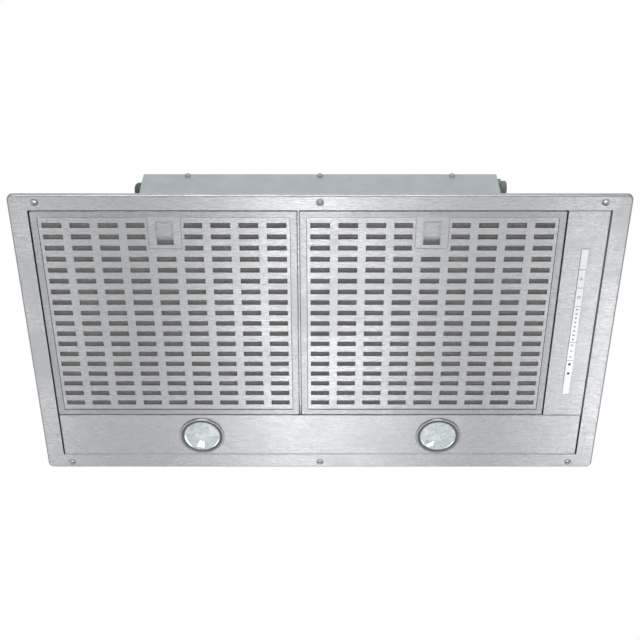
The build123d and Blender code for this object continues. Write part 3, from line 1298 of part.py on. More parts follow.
def lamp(side, x):
    """Bezel with its clips, lens and light module of one lamp."""
    axis = Axis((x, lamp_y, 0), (0, 0, 1))
    lamp_plane = Plane(origin=(x, lamp_y, 0), x_dir=(1, 0, 0), z_dir=(0, -1, 0))
    with BuildPart() as bezel:
        with BuildSketch(lamp_plane):
            Polygon(
                (BEZEL_TUBE_R, 0),
                (BEZEL_R, 0),
                (BEZEL_R, -BEZEL_DROP * 0.6),
                (BEZEL_R - BEZEL_DROP * 0.3, -BEZEL_DROP),
                (BEZEL_LIP_R, -BEZEL_DROP),
                (LENS_R, LENS_SEAT_Z - SHEET_T),
                (LENS_R, LENS_SEAT_Z),
                (LENS_FLANGE_R + LAMP_HOLE_GAP, LENS_SEAT_Z),
                (LENS_FLANGE_R + LAMP_HOLE_GAP, BEZEL_TUBE_TOP),
                (BEZEL_TUBE_R, BEZEL_TUBE_TOP),
                align=None,
            )
        revolve(axis=axis)
        for clip_side in (-1, 1):
            reach = x + clip_side * (BEZEL_TUBE_R + CLIP_REACH / 2 - CLIP_T / 2)
            with BuildSketch(Plane.XY.offset(BEZEL_TUBE_TOP - CLIP_T)):
                with Locations((reach, lamp_y)):
                    Rectangle(CLIP_REACH + CLIP_T, CLIP_WIDTH)
            extrude(amount=CLIP_T)
            with BuildSketch(Plane.XY.offset(SHEET_T)):
                with Locations((reach + clip_side * CLIP_REACH / 2, lamp_y)):
                    Rectangle(CLIP_T, CLIP_WIDTH)
            extrude(amount=BEZEL_TUBE_TOP - SHEET_T)
    bezel.part.label = f"lamp_{side}_bezel"
    export_step(bezel.part, f"parts/lamp_{side}_bezel.step")

    with BuildPart() as lens:
        with BuildSketch(lamp_plane):
            with BuildLine():
                dome = ThreePointArc(
                    (0, LENS_LOW_Z),
                    (lens_edge * 0.5, lens_bow_z),
                    (lens_edge, LENS_SIDE_Z),
                )
                Polyline(
                    dome @ 1,
                    (lens_edge, LENS_SEAT_Z),
                    (LENS_FLANGE_R, LENS_SEAT_Z),
                    (LENS_FLANGE_R, LENS_SEAT_Z + LENS_FLANGE_T),
                    (0, LENS_SEAT_Z + LENS_FLANGE_T),
                    dome @ 0,
                )
            make_face()
        revolve(axis=axis)
    lens.part.label = f"lamp_{side}_lens"
    export_step(lens.part, f"parts/lamp_{side}_lens.step")

    module_z = LENS_SEAT_Z + LENS_FLANGE_T
    fin_step = (MODULE_TOP - 2 * BEZEL_TUBE_TOP) / MODULE_FIN_COUNT
    with BuildPart() as module:
        with BuildSketch(Plane.XY.offset(module_z)):
            with Locations((x, lamp_y)):
                Circle(MODULE_R)
        extrude(amount=MODULE_TOP - module_z)
        with BuildSketch(Plane.XY.offset(module_z)):
            with Locations((x, lamp_y)):
                Circle(MODULE_R - MODULE_WALL)
        extrude(amount=BEZEL_TUBE_TOP, mode=Mode.SUBTRACT)
        for i in range(MODULE_FIN_COUNT):
            with BuildSketch(Plane.XY.offset(2 * BEZEL_TUBE_TOP + (i - 0.0) * fin_step)):
                with Locations((x, lamp_y)):
                    Circle(MODULE_R)
                    Circle(MODULE_FIN_R, mode=Mode.SUBTRACT)
            extrude(amount=MODULE_FIN_H, mode=Mode.SUBTRACT)
    module.part.label = f"lamp_{side}_module"
    export_step(module.part, f"parts/lamp_{side}_module.step")


lamp("left", -LAMP_PITCH / 2)
lamp("right", LAMP_PITCH / 2)

# ---- Wiring loom: round leads whose bends follow from the points they run through ----
def lead(points):
    """One lead as a swept tube; each bend takes a share of its shorter run."""
    radii = []
    for before, at, after in zip(points, points[1:], points[2:]):
        run_in = Vector(*at) - Vector(*before)
        run_out = Vector(*after) - Vector(*at)
        half_turn = math.radians(run_in.get_angle(run_out)) / 2
        radii.append(LEAD_BEND * min(run_in.length, run_out.length) / math.tan(half_turn))
    with BuildPart() as tube:
        with BuildLine() as path:
            FilletPolyline(*points, radius=radii)
        with BuildSketch(Plane(origin=path.line @ 0, z_dir=path.line % 0)):
            Circle(LEAD_R)
        sweep()
    length = sum(edge.length for edge in path.edges())
    share = tube.part.volume / (math.pi * LEAD_R**2 * length)
    print("lead radii", [round(r) for r in radii], "length", round(length), "share", round(share, 4))
    return tube.part


shoulder_x = motor_x0 + MOTOR_CAP_H
shoulder_r = (MOTOR_R + MOTOR_CAP_R) / 2
shoulder_rise = shoulder_r / 2
shoulder_run = shoulder_r * math.cos(math.radians(30))
lamp_top = MODULE_TOP
lamp_x = LAMP_PITCH / 2
lead_side = 2 * LEAD_R
power_run_z = power_top - 21
socket_x0 = socket_x - SOCKET_SIZE[0] / 2
socket_z = HOUSING_H + SOCKET_SIZE[2] / 2
capacitor_x1 = -neck_x + CAPACITOR_LENGTH

motor_lead = [
    (power_x0, power_y, power_run_z),
    (power_x0 - 62, power_y, power_run_z),
    (45, box_near + 18, power_run_z + 2),
    (-25, box_near + 20, power_run_z - 3),
    (-92, box_near + 25, power_run_z - 11),
    (-130, box_near + 34, power_run_z - 20),
    (shoulder_x - 50, shaft_y - shoulder_run, shaft_z + shoulder_rise),
    (shoulder_x, shaft_y - shoulder_run, shaft_z + shoulder_rise),
]
lamp_lead = [
    (power_x0 + 26, power_y, power_bottom),
    (power_x0 + 26, power_y, power_bottom - 54),
    (power_x0 + 20, power_y + 44, power_bottom - 89),
    (power_x0 + 5, power_y + 104, power_bottom - 92),
    (lamp_x + 14, lamp_y - 48, lamp_top + 70),
    (lamp_x + lead_side, lamp_y, lamp_top + 46),
    (lamp_x + lead_side, lamp_y, lamp_top),
]
lamp_link = [
    (lamp_x - lead_side, lamp_y, lamp_top),
    (lamp_x - lead_side, lamp_y, lamp_top + 42),
    (92, lamp_y + 2, lamp_top + 58),
    (30, lamp_y + 1, lamp_top + 50),
    (-34, lamp_y + 3, lamp_top + 56),
    (-96, lamp_y + 1, lamp_top + 52),
    (-lamp_x, lamp_y, lamp_top + 42),
    (-lamp_x, lamp_y, lamp_top),
]
control_lead = [
    (power_x0 + 40, power_y, power_bottom),
    (power_x0 + 40, power_y, power_bottom - 59),
    (power_x0 + 36, power_y + 2, power_bottom - 112),
    (box_x - 7, power_y + 12, CHAMBER_TOP - 14),
    (socket_x0 - 26, strip_y, socket_z),
    (socket_x0, strip_y, socket_z),
]
capacitor_lead = [
    (capacitor_x1, capacitor_y, capacitor_z),
    (capacitor_x1 + 30, capacitor_y, capacitor_z),
    (shoulder_x - 30, shaft_y + shoulder_run, shaft_z + shoulder_rise),
    (shoulder_x, shaft_y + shoulder_run, shaft_z + shoulder_rise),
]
with BuildPart() as wiring_loom:
    for points in (motor_lead, lamp_lead, lamp_link, control_lead, capacitor_lead):
        add(lead(points))
wiring_loom.part.label = "wiring_loom"
export_step(wiring_loom.part, "parts/wiring_loom.step")
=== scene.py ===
"""Looks of a built-in range hood insert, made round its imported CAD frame. Lengths are in metres."""

import bpy
import numpy as np
from mathutils import Matrix, Vector


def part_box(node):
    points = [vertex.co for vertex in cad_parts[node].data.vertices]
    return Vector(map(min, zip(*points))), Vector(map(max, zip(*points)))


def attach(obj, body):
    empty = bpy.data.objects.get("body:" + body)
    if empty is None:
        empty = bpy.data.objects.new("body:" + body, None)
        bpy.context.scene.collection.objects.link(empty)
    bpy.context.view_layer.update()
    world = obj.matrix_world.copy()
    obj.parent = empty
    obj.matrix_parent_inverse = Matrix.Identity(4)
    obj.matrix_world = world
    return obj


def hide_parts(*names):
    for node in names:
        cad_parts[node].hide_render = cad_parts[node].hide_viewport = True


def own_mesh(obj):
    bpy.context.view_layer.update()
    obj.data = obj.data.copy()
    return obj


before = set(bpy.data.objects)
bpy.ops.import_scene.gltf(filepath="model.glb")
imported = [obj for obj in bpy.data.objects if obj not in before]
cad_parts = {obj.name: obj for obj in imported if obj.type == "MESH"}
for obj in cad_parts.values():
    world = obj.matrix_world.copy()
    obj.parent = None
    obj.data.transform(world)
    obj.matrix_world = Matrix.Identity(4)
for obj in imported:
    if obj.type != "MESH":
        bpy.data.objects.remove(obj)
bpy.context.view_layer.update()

bl_info = {
    "name": "Range Hood Insert",
    "version": (1, 0, 0),
    "blender": (4, 5, 0),
    "location": "View3D > Sidebar > Hood",
    "description": "Sheet metal, filters, lamps, touch strip and studio of a hood insert",
    "category": "Object",
}

SIDES = ("left", "right")
EDGES = ("near", "far", "left", "right")
# Corners of each lens's kite facet from the lamp's axis, in millimetres.
FACET_CORNERS = {
    "left": ((-2.3, 6.0), (2.8, 9.4), (2.1, 17.4), (-7.0, 16.1)),
    "right": ((-4.9, 7.4), (-5.8, 14.3), (-12.0, 16.6), (-14.5, 13.6)),
}
# Bright arcs at each lens's edge: start and end in radians, outer radius and width in metres.
FACET_ARCS = {
    "left": ((2.2, 3.3, 0.0216, 0.0016), (0.1, 1.0, 0.0219, 0.0006)),
    "right": ((0.2, 1.2, 0.0219, 0.0005), (2.3, 3.0, 0.0219, 0.0004)),
}
# The stage's soft lamps: name, place, aim, width and height, and power in watts.
LAMPS = (
    ("key", (-0.1, -1.9, -0.4), (0.0, 0.0, 0.0), (1.4, 1.4), 11.0),
    ("under", (-0.015, 0.87, -1.5), (-0.01, -0.09, 0.0), (0.36, 0.78), 2.4),
    ("right", (0.875, 1.33, -1.5), (0.37, 0.11, 0.0), (0.35, 0.6), 2.5),
    ("left", (-0.86, 1.12, -1.5), (-0.37, 0.02, 0.0), (0.36, 0.45), 1.15),
    ("glint_left", (-0.345, 1.43, -1.5), (-0.1725, 0.15, 0.0), (0.17, 0.13), 0.17),
    ("glint_right", (0.30, 1.43, -1.5), (0.15, 0.15, 0.0), (0.17, 0.13), 0.17),
    ("top", (0.05, -0.4, 2.2), (0.0, 0.0, 0.1), (1.9, 2.0), 8.0),
)
FLOOR_HEIGHT = -1.75
# The photograph's camera: focal length and sensor in millimetres, place, view and upward way.
CAMERA_LENGTH, CAMERA_SENSOR = 71.44, 36.0
CAMERA_PLACE = (0.0, -0.897, -1.2414)
CAMERA_FORWARD, CAMERA_UP = (0.0, 0.5719, 0.8204), (0.0, -0.8204, 0.5719)


# ---------------------------------------------------------------- settings


def length(name, description, default):
    """A length that a user would change."""
    return bpy.props.FloatProperty(
        name=name, description=description, default=default, unit="LENGTH"
    )


def cell(name, description, default):
    """Two lengths that a user would change."""
    return bpy.props.FloatVectorProperty(
        name=name, description=description, default=default, size=2, subtype="XYZ_LENGTH",
        unit="LENGTH",
    )


def paint(name, description, default):
    """A colour that a user would change."""
    return bpy.props.FloatVectorProperty(
        name=name, description=description, default=default, size=3, subtype="COLOR"
    )


class HoodSizes(bpy.types.PropertyGroup):
    """Sizes of the pieces that are added to the frame."""

    mesh_cell: cell(
        "Mesh cell", "Length and height of one diamond of the grease mesh", (0.0033, 0.00194)
    )
    mesh_strand: length("Mesh strand", "Width of one strand of the grease mesh", 0.00055)
    backing_cell: cell(
        "Backing cell", "Length and height of one diamond of the coarse net behind",
        (0.0072, 0.0044),
    )
    lens_pebble: length("Lens pebble", "Pitch of the pebbles pressed into the lamp lens", 0.0068)
    lens_relief: length("Lens relief", "Height of the pebbles", 0.0006)
    print_height: length("Print height", "Thickness of the marks on the touch strip", 0.00004)


class HoodColours(bpy.types.PropertyGroup):
    """Colours that a user would change."""

    steel: paint(
        "Stainless steel", "Brushed sheet of the frame and panels", (0.60, 0.612, 0.628)
    )
    filter_steel: paint("Filter steel", "Brushed sheet of the filters", (0.585, 0.595, 0.61))
    galvanised: paint(
        "Galvanised sheet", "Spangled sheet of the chamber and blower box", (0.50, 0.545, 0.565)
    )
    mesh: paint("Grease mesh", "Dull aluminium of the expanded mesh", (0.58, 0.585, 0.58))
    strip: paint("Touch strip", "Glass of the touch strip", (0.83, 0.88, 0.88))
    marks: paint("Strip marks", "Print on the touch strip", (0.16, 0.17, 0.17))
    lens: paint("Lamp lens", "Pebbled glass of the lamps", (0.63, 0.70, 0.70))
    dark_plastic: paint(
        "Dark plastic", "Moulded collar, flaps, housing and plug", (0.035, 0.036, 0.038)
    )


# ---------------------------------------------------------------- shader groups


def plug(place, value):
    """Gives a socket a plain value, or links it if the value is another node's output."""
    if isinstance(value, bpy.types.NodeSocket):
        place.id_data.links.new(place, value)
    else:
        place.default_value = value


def add_node(tree, kind, *terms, **values):
    """Adds a node: terms go to its sockets in order, values to its settings or sockets by name."""
    node = tree.nodes.new(kind)
    for key, value in values.items():
        if hasattr(node, key):
            setattr(node, key, value)
        else:
            plug(node.inputs[key.replace("_", " ")], value)
    for place, term in zip(node.inputs, terms):
        plug(place, term)
    return node


def object_place(tree):
    """The object's own coordinates."""
    return add_node(tree, "ShaderNodeTexCoord").outputs["Object"]


def stretched(place, factors):
    """Coordinates times a factor along each axis."""
    node = add_node(place.id_data, "ShaderNodeVectorMath", place, factors, operation="MULTIPLY")
    return node.outputs[0]


def noise(place, scale, detail=2.0, **values):
    """Cloudy noise from 0 to 1."""
    values.update(Vector=place, Scale=scale, Detail=detail)
    return add_node(place.id_data, "ShaderNodeTexNoise", **values).outputs["Fac"]


def cells(place, **values):
    """Distance in a Voronoi pattern."""
    return add_node(
        place.id_data, "ShaderNodeTexVoronoi", Vector=place, **values
    ).outputs["Distance"]


def ramp(source, low, high, start=0.0, end=1.0, **values):
    """Maps low to high onto start to end, and holds the ends."""
    values.update(Value=source, From_Min=low, From_Max=high, To_Min=start, To_Max=end)
    return add_node(source.id_data, "ShaderNodeMapRange", **values).outputs["Result"]


def spread(source, low=0.0, high=1.0):
    """Maps a 0.25 to 0.75 noise onto a range of values."""
    return ramp(source, 0.25, 0.75, low, high)


def maths(kind, first, *others):
    """One step of arithmetic on a socket and others, which may be numbers."""
    node = add_node(first.id_data, "ShaderNodeMath", first, *others, operation=kind)
    return node.outputs[0]


def total(first, second, share):
    """first + share * second."""
    return maths("MULTIPLY_ADD", second, share, first)


def start_group(name, **inputs):
    """A shader group with inputs of these defaults: its tree, inputs and the object's place."""
    tree = bpy.data.node_groups.new(name, "ShaderNodeTree")
    for label, value in inputs.items():
        kind = "NodeSocketVector" if isinstance(value, tuple) else "NodeSocketFloat"
        made = tree.interface.new_socket(
            name=label.replace("_", " "), in_out="INPUT", socket_type=kind
        )
        made.default_value = value
    return tree, tree.nodes.new("NodeGroupInput").outputs, object_place(tree)


def end_group(tree, **results):
    """Puts results out of a group by name, and gives the group back."""
    for label in results:
        tree.interface.new_socket(name=label, in_out="OUTPUT", socket_type="NodeSocketFloat")
    add_node(tree, "NodeGroupOutput", **results)
    return tree


def group_brushed():
    """Brushed grain: coarse and fine noise on coordinates that are stretched along the grain."""
    tree, entry, place = start_group("Brushed grain", Stretch=(8.0, 900.0, 900.0))
    place = stretched(place, entry["Stretch"])
    return end_group(
        tree, Streak=noise(place, 1.0, 3.0), Fine=noise(place, 3.3), Band=noise(place, 0.12)
    )


def group_marks_and_light_patches():
    """Handling marks and light patches: cloudy noise eased into soft patches, and fine noise cut down
    to dust. Most materials use the patches as handling marks; the lens glass uses them as painted
    light.
    """
    tree, entry, place = start_group("Handling marks and light patches", Size=9.0)
    clouds = noise(place, entry["Size"], 5.0, Roughness=0.6)
    patch = ramp(clouds, 0.42, 0.7, interpolation_type="SMOOTHSTEP")
    return end_group(tree, Patch=patch, Dust=ramp(noise(place, 900.0), 0.62, 0.78))


def group_scratch():
    """Fine scratches: thin ridges of a long Voronoi's cell edges, broken up by noise."""
    tree, entry, place = start_group("Scratches", Stretch=(12.0, 70.0, 70.0))
    turned = add_node(tree, "ShaderNodeMapping", place, Rotation=(0.2, 0.1, 0.35)).outputs[0]
    edges = cells(stretched(turned, entry["Stretch"]), feature="DISTANCE_TO_EDGE")
    broken = ramp(noise(place, 23.0), 0.52, 0.62)
    return end_group(tree, Line=maths("MULTIPLY", ramp(edges, 0.0, 0.012, 1.0, 0.0), broken))


def group_spangle():
    """Zinc spangle: Voronoi crystals on slightly warped coordinates, each with its own grey."""
    tree, entry, place = start_group("Zinc spangle", Scale=90.0)
    warp = add_node(tree, "ShaderNodeTexNoise", Vector=place, Scale=120.0, Detail=3.0)
    bend = add_node(
        tree, "ShaderNodeVectorMath", warp.outputs["Color"], (0.006, 0.006, 0.006), place,
        operation="MULTIPLY_ADD",
    ).outputs[0]
    crystals = add_node(tree, "ShaderNodeTexVoronoi", Vector=bend, Scale=entry["Scale"])
    grey = add_node(tree, "ShaderNodeSeparateColor", crystals.outputs["Color"]).outputs[0]
    return end_group(tree, Crystal=grey, Feather=noise(bend, 700.0, 4.0, Distortion=1.5))


def group_moulded():
    """Moulded grain: fine pebbles of a Voronoi's smooth distance with noise over them."""
    tree, entry, place = start_group("Moulded grain", Scale=1500.0)
    pebble = cells(place, Scale=entry["Scale"], feature="SMOOTH_F1")
    return end_group(tree, Pebble=pebble, Flow=noise(place, 35.0, 4.0, Distortion=0.6))


def group_dish_shade():
    """Screw dish shade: the distance from the nearest of six screw places, which repeat at a pitch
    along x and lie at plus and minus a reach along y, as masks of the dish and of its edge for
    painted shade."""
    tree, entry, place = start_group("Screw dish shade", Half_pitch=0.16, Reach=0.192, Radius=0.0045)
    axes = add_node(tree, "ShaderNodeSeparateXYZ", place).outputs
    pitch = entry["Half pitch"]
    along = maths("ABSOLUTE", maths("SUBTRACT", maths("ABSOLUTE", axes["X"]), pitch))
    along = maths("SUBTRACT", along, pitch)
    across = maths("SUBTRACT", maths("ABSOLUTE", axes["Y"]), entry["Reach"])
    squares = maths("ADD", maths("MULTIPLY", along, along), maths("MULTIPLY", across, across))
    share = maths("DIVIDE", maths("SQRT", squares), entry["Radius"])
    dish = ramp(share, 0.97, 1.03, 1.0, 0.0)
    return end_group(tree, Dish=dish, Edge=maths("MULTIPLY", dish, ramp(share, 0.72, 1.0)))


GROUP_MAKERS = {
    "Screw dish shade": group_dish_shade,
    "Brushed grain": group_brushed,
    "Handling marks and light patches": group_marks_and_light_patches,
    "Scratches": group_scratch,
    "Zinc spangle": group_spangle,
    "Moulded grain": group_moulded,
}


def use_group(tree, name, *values):
    """Places a shared group in a material, building it the first time, and gives its outputs."""
    made = bpy.data.node_groups.get(name) or GROUP_MAKERS[name]()
    return add_node(tree, "ShaderNodeGroup", *values, node_tree=made).outputs


# ---------------------------------------------------------------- materials


def start_material(name, *groups):
    """A material with nodes, then the outputs of its groups, each given by name and input."""
    made = bpy.data.materials.new(name)
    made.use_nodes = True
    return made, *(use_group(made.node_tree, *group) for group in groups)


def surface(made, base, rough, relief=None, **values):
    """Gives a material's shader its base colour, its roughness, a relief as height, strength and
    distance, and other values by name."""
    tree = made.node_tree
    values.update(Base_Color=base, Roughness=rough)
    if relief:
        height, strength, distance = relief
        bump = add_node(tree, "ShaderNodeBump", Height=height, Strength=strength, Distance=distance)
        values["Normal"] = bump.outputs["Normal"]
    for key, value in values.items():
        plug(tree.nodes["Principled BSDF"].inputs[key.replace("_", " ")], value)
    return made


def mix_colours(mask, low, high):
    """A colour between two, each a socket or three numbers, by a mask."""
    node = add_node(mask.id_data, "ShaderNodeMix", mask, data_type="RGBA")
    for place, colour in zip(node.inputs[6:8], (low, high)):
        plug(place, (*colour, 1.0) if isinstance(colour, tuple) else colour)
    return node.outputs[2]


def blend_over(under, mask, colour, share=1.0):
    """Lays a colour over a colour socket by a share of a mask."""
    return mix_colours(maths("MULTIPLY", mask, share), under, colour)


def scaled(colour, factor):
    """A colour times a factor."""
    return tuple(min(1.0, c * factor) for c in colour)


def shades(mask, colour, low, high):
    """Runs between two shades of a colour by a mask."""
    return mix_colours(mask, scaled(colour, low), scaled(colour, high))


def brushed_metal(name, colour, stretch, roughness=0.26, contrast=0.08, dishes=False):
    """Brushed sheet: streaks in colour and roughness, soft handling marks and hairline scratches,
    and painted shade in the dishes round the screw holes, darkest at their edges, if asked."""
    made, grain, marks, scratch = start_material(
        name, ("Brushed grain", stretch), ("Handling marks and light patches", 7.0),
        ("Scratches", tuple(max(6.0, s / 22.0) for s in stretch)),
    )
    streaks = total(total(grain["Streak"], grain["Fine"], 0.6), grain["Band"], 0.25)
    base = shades(ramp(streaks, 0.62, 1.22), colour, 1.0 - contrast, 1.0 + contrast)
    base = blend_over(base, marks["Patch"], scaled(colour, 0.88), 0.5)
    base = blend_over(base, scratch["Line"], scaled(colour, 1.25), 0.2)
    if dishes:
        ring = use_group(made.node_tree, "Screw dish shade")
        # Painted shade: the dishes round the screw holes are darkened, and their edges are darker
        # still.
        base = blend_over(base, ring["Dish"], scaled(colour, 0.5), 0.7)
        base = blend_over(base, ring["Edge"], scaled(colour, 0.2), 0.7)
    rough = spread(grain["Fine"], roughness - 0.05, roughness + 0.06)
    rough = total(rough, marks["Patch"], 0.07)
    return surface(made, base, rough, (streaks, 0.8, 0.0002), Metallic=1.0)


def galvanised_sheet(name, colour):
    """Zinc coated sheet: crystals of differing grey, feathered, with pale storage stains."""
    made, zinc, marks, scratch = start_material(
        name, ("Zinc spangle", 85.0), ("Handling marks and light patches", 5.0), ("Scratches", (14.0, 30.0, 22.0)),
    )
    level = ramp(total(zinc["Crystal"], zinc["Feather"], 0.8), 0.2, 1.5)
    base = shades(level, colour, 0.92, 1.07)
    base = blend_over(base, marks["Patch"], scaled(colour, 1.06), 0.5)
    base = blend_over(base, scratch["Line"], scaled(colour, 0.7), 0.5)
    rough = total(spread(zinc["Crystal"], 0.38, 0.5), marks["Patch"], 0.12)
    return surface(made, base, rough, (zinc["Feather"], 0.12, 0.0002), Metallic=0.85)


def moulded_plastic(name, colour, roughness=0.45, grain=1500.0, metallic=0.0):
    """Moulded plastic: fine pebble grain, faint flow marks and dust in the hollows."""
    made, pebble, marks = start_material(name, ("Moulded grain", grain), ("Handling marks and light patches", 14.0))
    base = shades(spread(pebble["Flow"]), colour, 0.85, 1.15)
    base = blend_over(base, marks["Dust"], (0.4, 0.39, 0.37), 0.12)
    rough = spread(pebble["Pebble"], roughness - 0.06, roughness + 0.08)
    rough = total(rough, marks["Patch"], 0.08)
    return surface(made, base, rough, (pebble["Pebble"], 0.25, 0.00012), Metallic=metallic)


def bright_metal(name, colour, roughness=0.08, stretch=(60.0, 60.0, 60.0)):
    """Plated or turned metal: faint polishing lines, water marks and hairline scratches."""
    made, grain, marks, scratch = start_material(
        name, ("Brushed grain", stretch), ("Handling marks and light patches", 26.0),
        ("Scratches", (40.0, 90.0, 60.0)),
    )
    base = shades(spread(grain["Streak"]), colour, 0.93, 1.05)
    base = blend_over(base, marks["Patch"], scaled(colour, 0.85), 0.5)
    rough = total(spread(grain["Fine"], roughness, roughness + 0.07), scratch["Line"], 0.2)
    return surface(made, base, rough, (grain["Fine"], 0.05, 0.0001), Metallic=1.0)


def dull_mesh(name, colour):
    """Expanded aluminium: dull skin with grease in patches and an uneven grain."""
    made, marks, grain = start_material(name, ("Handling marks and light patches", 30.0), ("Moulded grain", 2500.0))
    base = shades(spread(grain["Flow"]), colour, 0.9, 1.1)
    base = blend_over(base, marks["Patch"], scaled(colour, 0.75), 0.5)
    rough = spread(grain["Pebble"], 0.5, 0.68)
    return surface(made, base, rough, (grain["Pebble"], 0.2, 0.0001), Metallic=0.45)


def lens_glass(name, colour):
    """Pressed milky glass: painted light and shade of the pebbles behind, lighter at each pebble's
    middle and darker towards its edges, painted lighter blotches, a satin face and a thin clear gloss
    over it."""
    made, pebble, marks = start_material(name, ("Moulded grain", 330.0), ("Handling marks and light patches", 170.0))
    base = shades(spread(pebble["Pebble"]), colour, 1.22, 0.84)
    # Painted light: soft patches lighten the glass in blotches.
    base = blend_over(base, marks["Patch"], scaled(colour, 1.35), 0.7)
    return surface(
        made, base, spread(pebble["Flow"], 0.2, 0.3), (pebble["Pebble"], 0.6, 0.0006),
        Coat_Weight=total(spread(pebble["Flow"], 0.8, 0.9), marks["Dust"], -0.3),
        Coat_Roughness=0.03, Transmission_Weight=0.25, IOR=1.49, Specular_IOR_Level=0.4,
    )


def strip_glass(name, colour):
    """Back-painted glass: pale paint under a clear gloss, with finger marks on the gloss."""
    made, flow, marks = start_material(name, ("Moulded grain", 900.0), ("Handling marks and light patches", 60.0))
    base = shades(spread(flow["Flow"]), colour, 0.96, 1.04)
    base = blend_over(base, marks["Patch"], scaled(colour, 0.93), 0.5)
    rough = total(spread(flow["Flow"], 0.1, 0.16), marks["Patch"], 0.1)
    return surface(made, base, rough, Metallic=0.03, Coat_Weight=0.3, Coat_Roughness=0.1, IOR=1.5)


def printed_ink(name, colour):
    """Screen print: slightly uneven ink with a soft gloss."""
    made, grain = start_material(name, ("Moulded grain", 4000.0))
    base = shades(spread(grain["Flow"]), colour, 0.85, 1.2)
    return surface(made, base, spread(grain["Pebble"], 0.25, 0.4))


def cable_skin(name):
    """Lead jackets: matt black with fine wrinkles and chalky scuffs."""
    made, grain, marks = start_material(name, ("Moulded grain", 700.0), ("Handling marks and light patches", 45.0))
    base = mix_colours(spread(grain["Flow"]), (0.018, 0.018, 0.019), (0.04, 0.04, 0.042))
    base = blend_over(base, marks["Patch"], (0.12, 0.12, 0.12), 0.4)
    return surface(made, base, spread(grain["Pebble"], 0.5, 0.7), (grain["Pebble"], 0.3, 0.0002))


def circuit_board(name):
    """Circuit board: green mask over a pattern of tracks from a Voronoi's cell edges."""
    made, marks = start_material(name, ("Handling marks and light patches", 50.0))
    tracks = cells(object_place(made.node_tree), feature="DISTANCE_TO_EDGE", Scale=260.0)
    line = ramp(tracks, 0.03, 0.08, 1.0, 0.0)
    base = mix_colours(line, (0.012, 0.075, 0.03), (0.03, 0.16, 0.06))
    base = blend_over(base, marks["Patch"], (0.05, 0.09, 0.05), 0.4)
    rough = total(spread(line, 0.3, 0.42), marks["Patch"], 0.1)
    return surface(made, base, rough, (line, 0.3, 0.0001))


def diode_face(name):
    """Lit face of a diode module: yellow phosphor with a grid of dies under silicone."""
    made = start_material(name)[0]
    dies = cells(object_place(made.node_tree), Scale=700.0, Randomness=0.0)
    base = mix_colours(dies, (0.85, 0.7, 0.18), (0.8, 0.78, 0.45))
    rough = spread(dies, 0.25, 0.4)
    return surface(made, base, rough, Coat_Weight=0.5, Coat_Roughness=0.1)


def dress(material, *nodes):
    """Gives CAD nodes a material on each of their slots."""
    for name in nodes:
        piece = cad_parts[name]
        if not piece.material_slots:
            piece.data.materials.append(material)
        for place in piece.material_slots:
            place.material = material


# ---------------------------------------------------------------- mesh building


def put_object(name, data):
    """A new object in the scene."""
    piece = bpy.data.objects.new(name, data)
    bpy.context.scene.collection.objects.link(piece)
    return piece


def put_mesh(name, shape, material, body, smooth=True):
    """Puts a shape's points, quads and triangles into a new object that rides on a CAD body."""
    points, quads, tris = shape
    corners = np.concatenate([quads.ravel(), tris.ravel()])
    sizes = np.repeat([4, 3], [len(quads), len(tris)])
    mesh = bpy.data.meshes.new(name)
    mesh.vertices.add(len(points))
    mesh.vertices.foreach_set("co", points.ravel())
    mesh.loops.add(len(corners))
    mesh.loops.foreach_set("vertex_index", corners)
    mesh.polygons.add(len(sizes))
    mesh.polygons.foreach_set("loop_start", np.cumsum(sizes) - sizes)
    mesh.polygons.foreach_set("use_smooth", np.full(len(sizes), smooth))
    mesh.update(calc_edges=True)
    mesh.validate()
    mesh.materials.append(material)
    piece = put_object(name, mesh)
    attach(piece, body)
    return piece


def grid_quads(nu, nv, close_u=False, close_v=False):
    """Quads of a grid of nu by nv points, row by row, closed round either way if asked."""
    u, v = np.mgrid[: nu - 1 + close_u, : nv - 1 + close_v]
    right, up = (u + 1) % nu, (v + 1) % nv
    quads = np.stack([u * nv + v, right * nv + v, right * nv + up, u * nv + up], -1)
    return quads.reshape(-1, 4)


def strand_rows(x0, x1, y0, y1, z, cell, strand, thick):
    """Zigzag strands of expanded mesh. Point i of strand k lies at x0 + i half cells, and at the
    strand's own y plus or minus half a cell's height, the sign turning with i + k, so that next
    strands meet in diamonds. Each carries a four-cornered section, turned a little about x."""
    count = max(2, int(2 * (x1 - x0) / cell[0]) + 1)
    rows = max(1, int((y1 - y0) / cell[1]))
    k, i = np.mgrid[:rows, :count][..., None]
    sign = np.where((i + k) % 2 == 0, 0.5, -0.5)
    corner_y = np.array([-1, 1, 1, -1]) * strand / 2
    corner_z = np.array([-0.75, -0.25, 0.75, 0.25]) * thick
    x = x0 + i * (x1 - x0) / (count - 1)
    y = y0 + (k + 0.5) * (y1 - y0) / rows + sign * cell[1] * 0.86 + corner_y
    points = np.stack(np.broadcast_arrays(x, y, z + sign * thick * 0.8 + corner_z), -1)
    last = 4 * (count - 1)
    ends = [[0, 1, 2, 3], [last + 3, last + 2, last + 1, last]]
    one = np.concatenate([grid_quads(count, 4, close_v=True)[:, ::-1], ends])
    quads = one + 4 * count * np.arange(rows)[:, None, None]
    return points.reshape(-1, 3), quads.reshape(-1, 4), NO_TRIS


NO_TRIS = np.zeros((0, 3), int)


def join_parts(parts):
    """Stacks shapes into one."""
    points, quads, tris = zip(*parts)
    starts = np.cumsum([0] + [len(p) for p in points[:-1]])
    faces = [[f + start for f, start in zip(kind, starts)] for kind in (quads, tris)]
    return np.concatenate(points), np.concatenate(faces[0]), np.concatenate(faces[1])


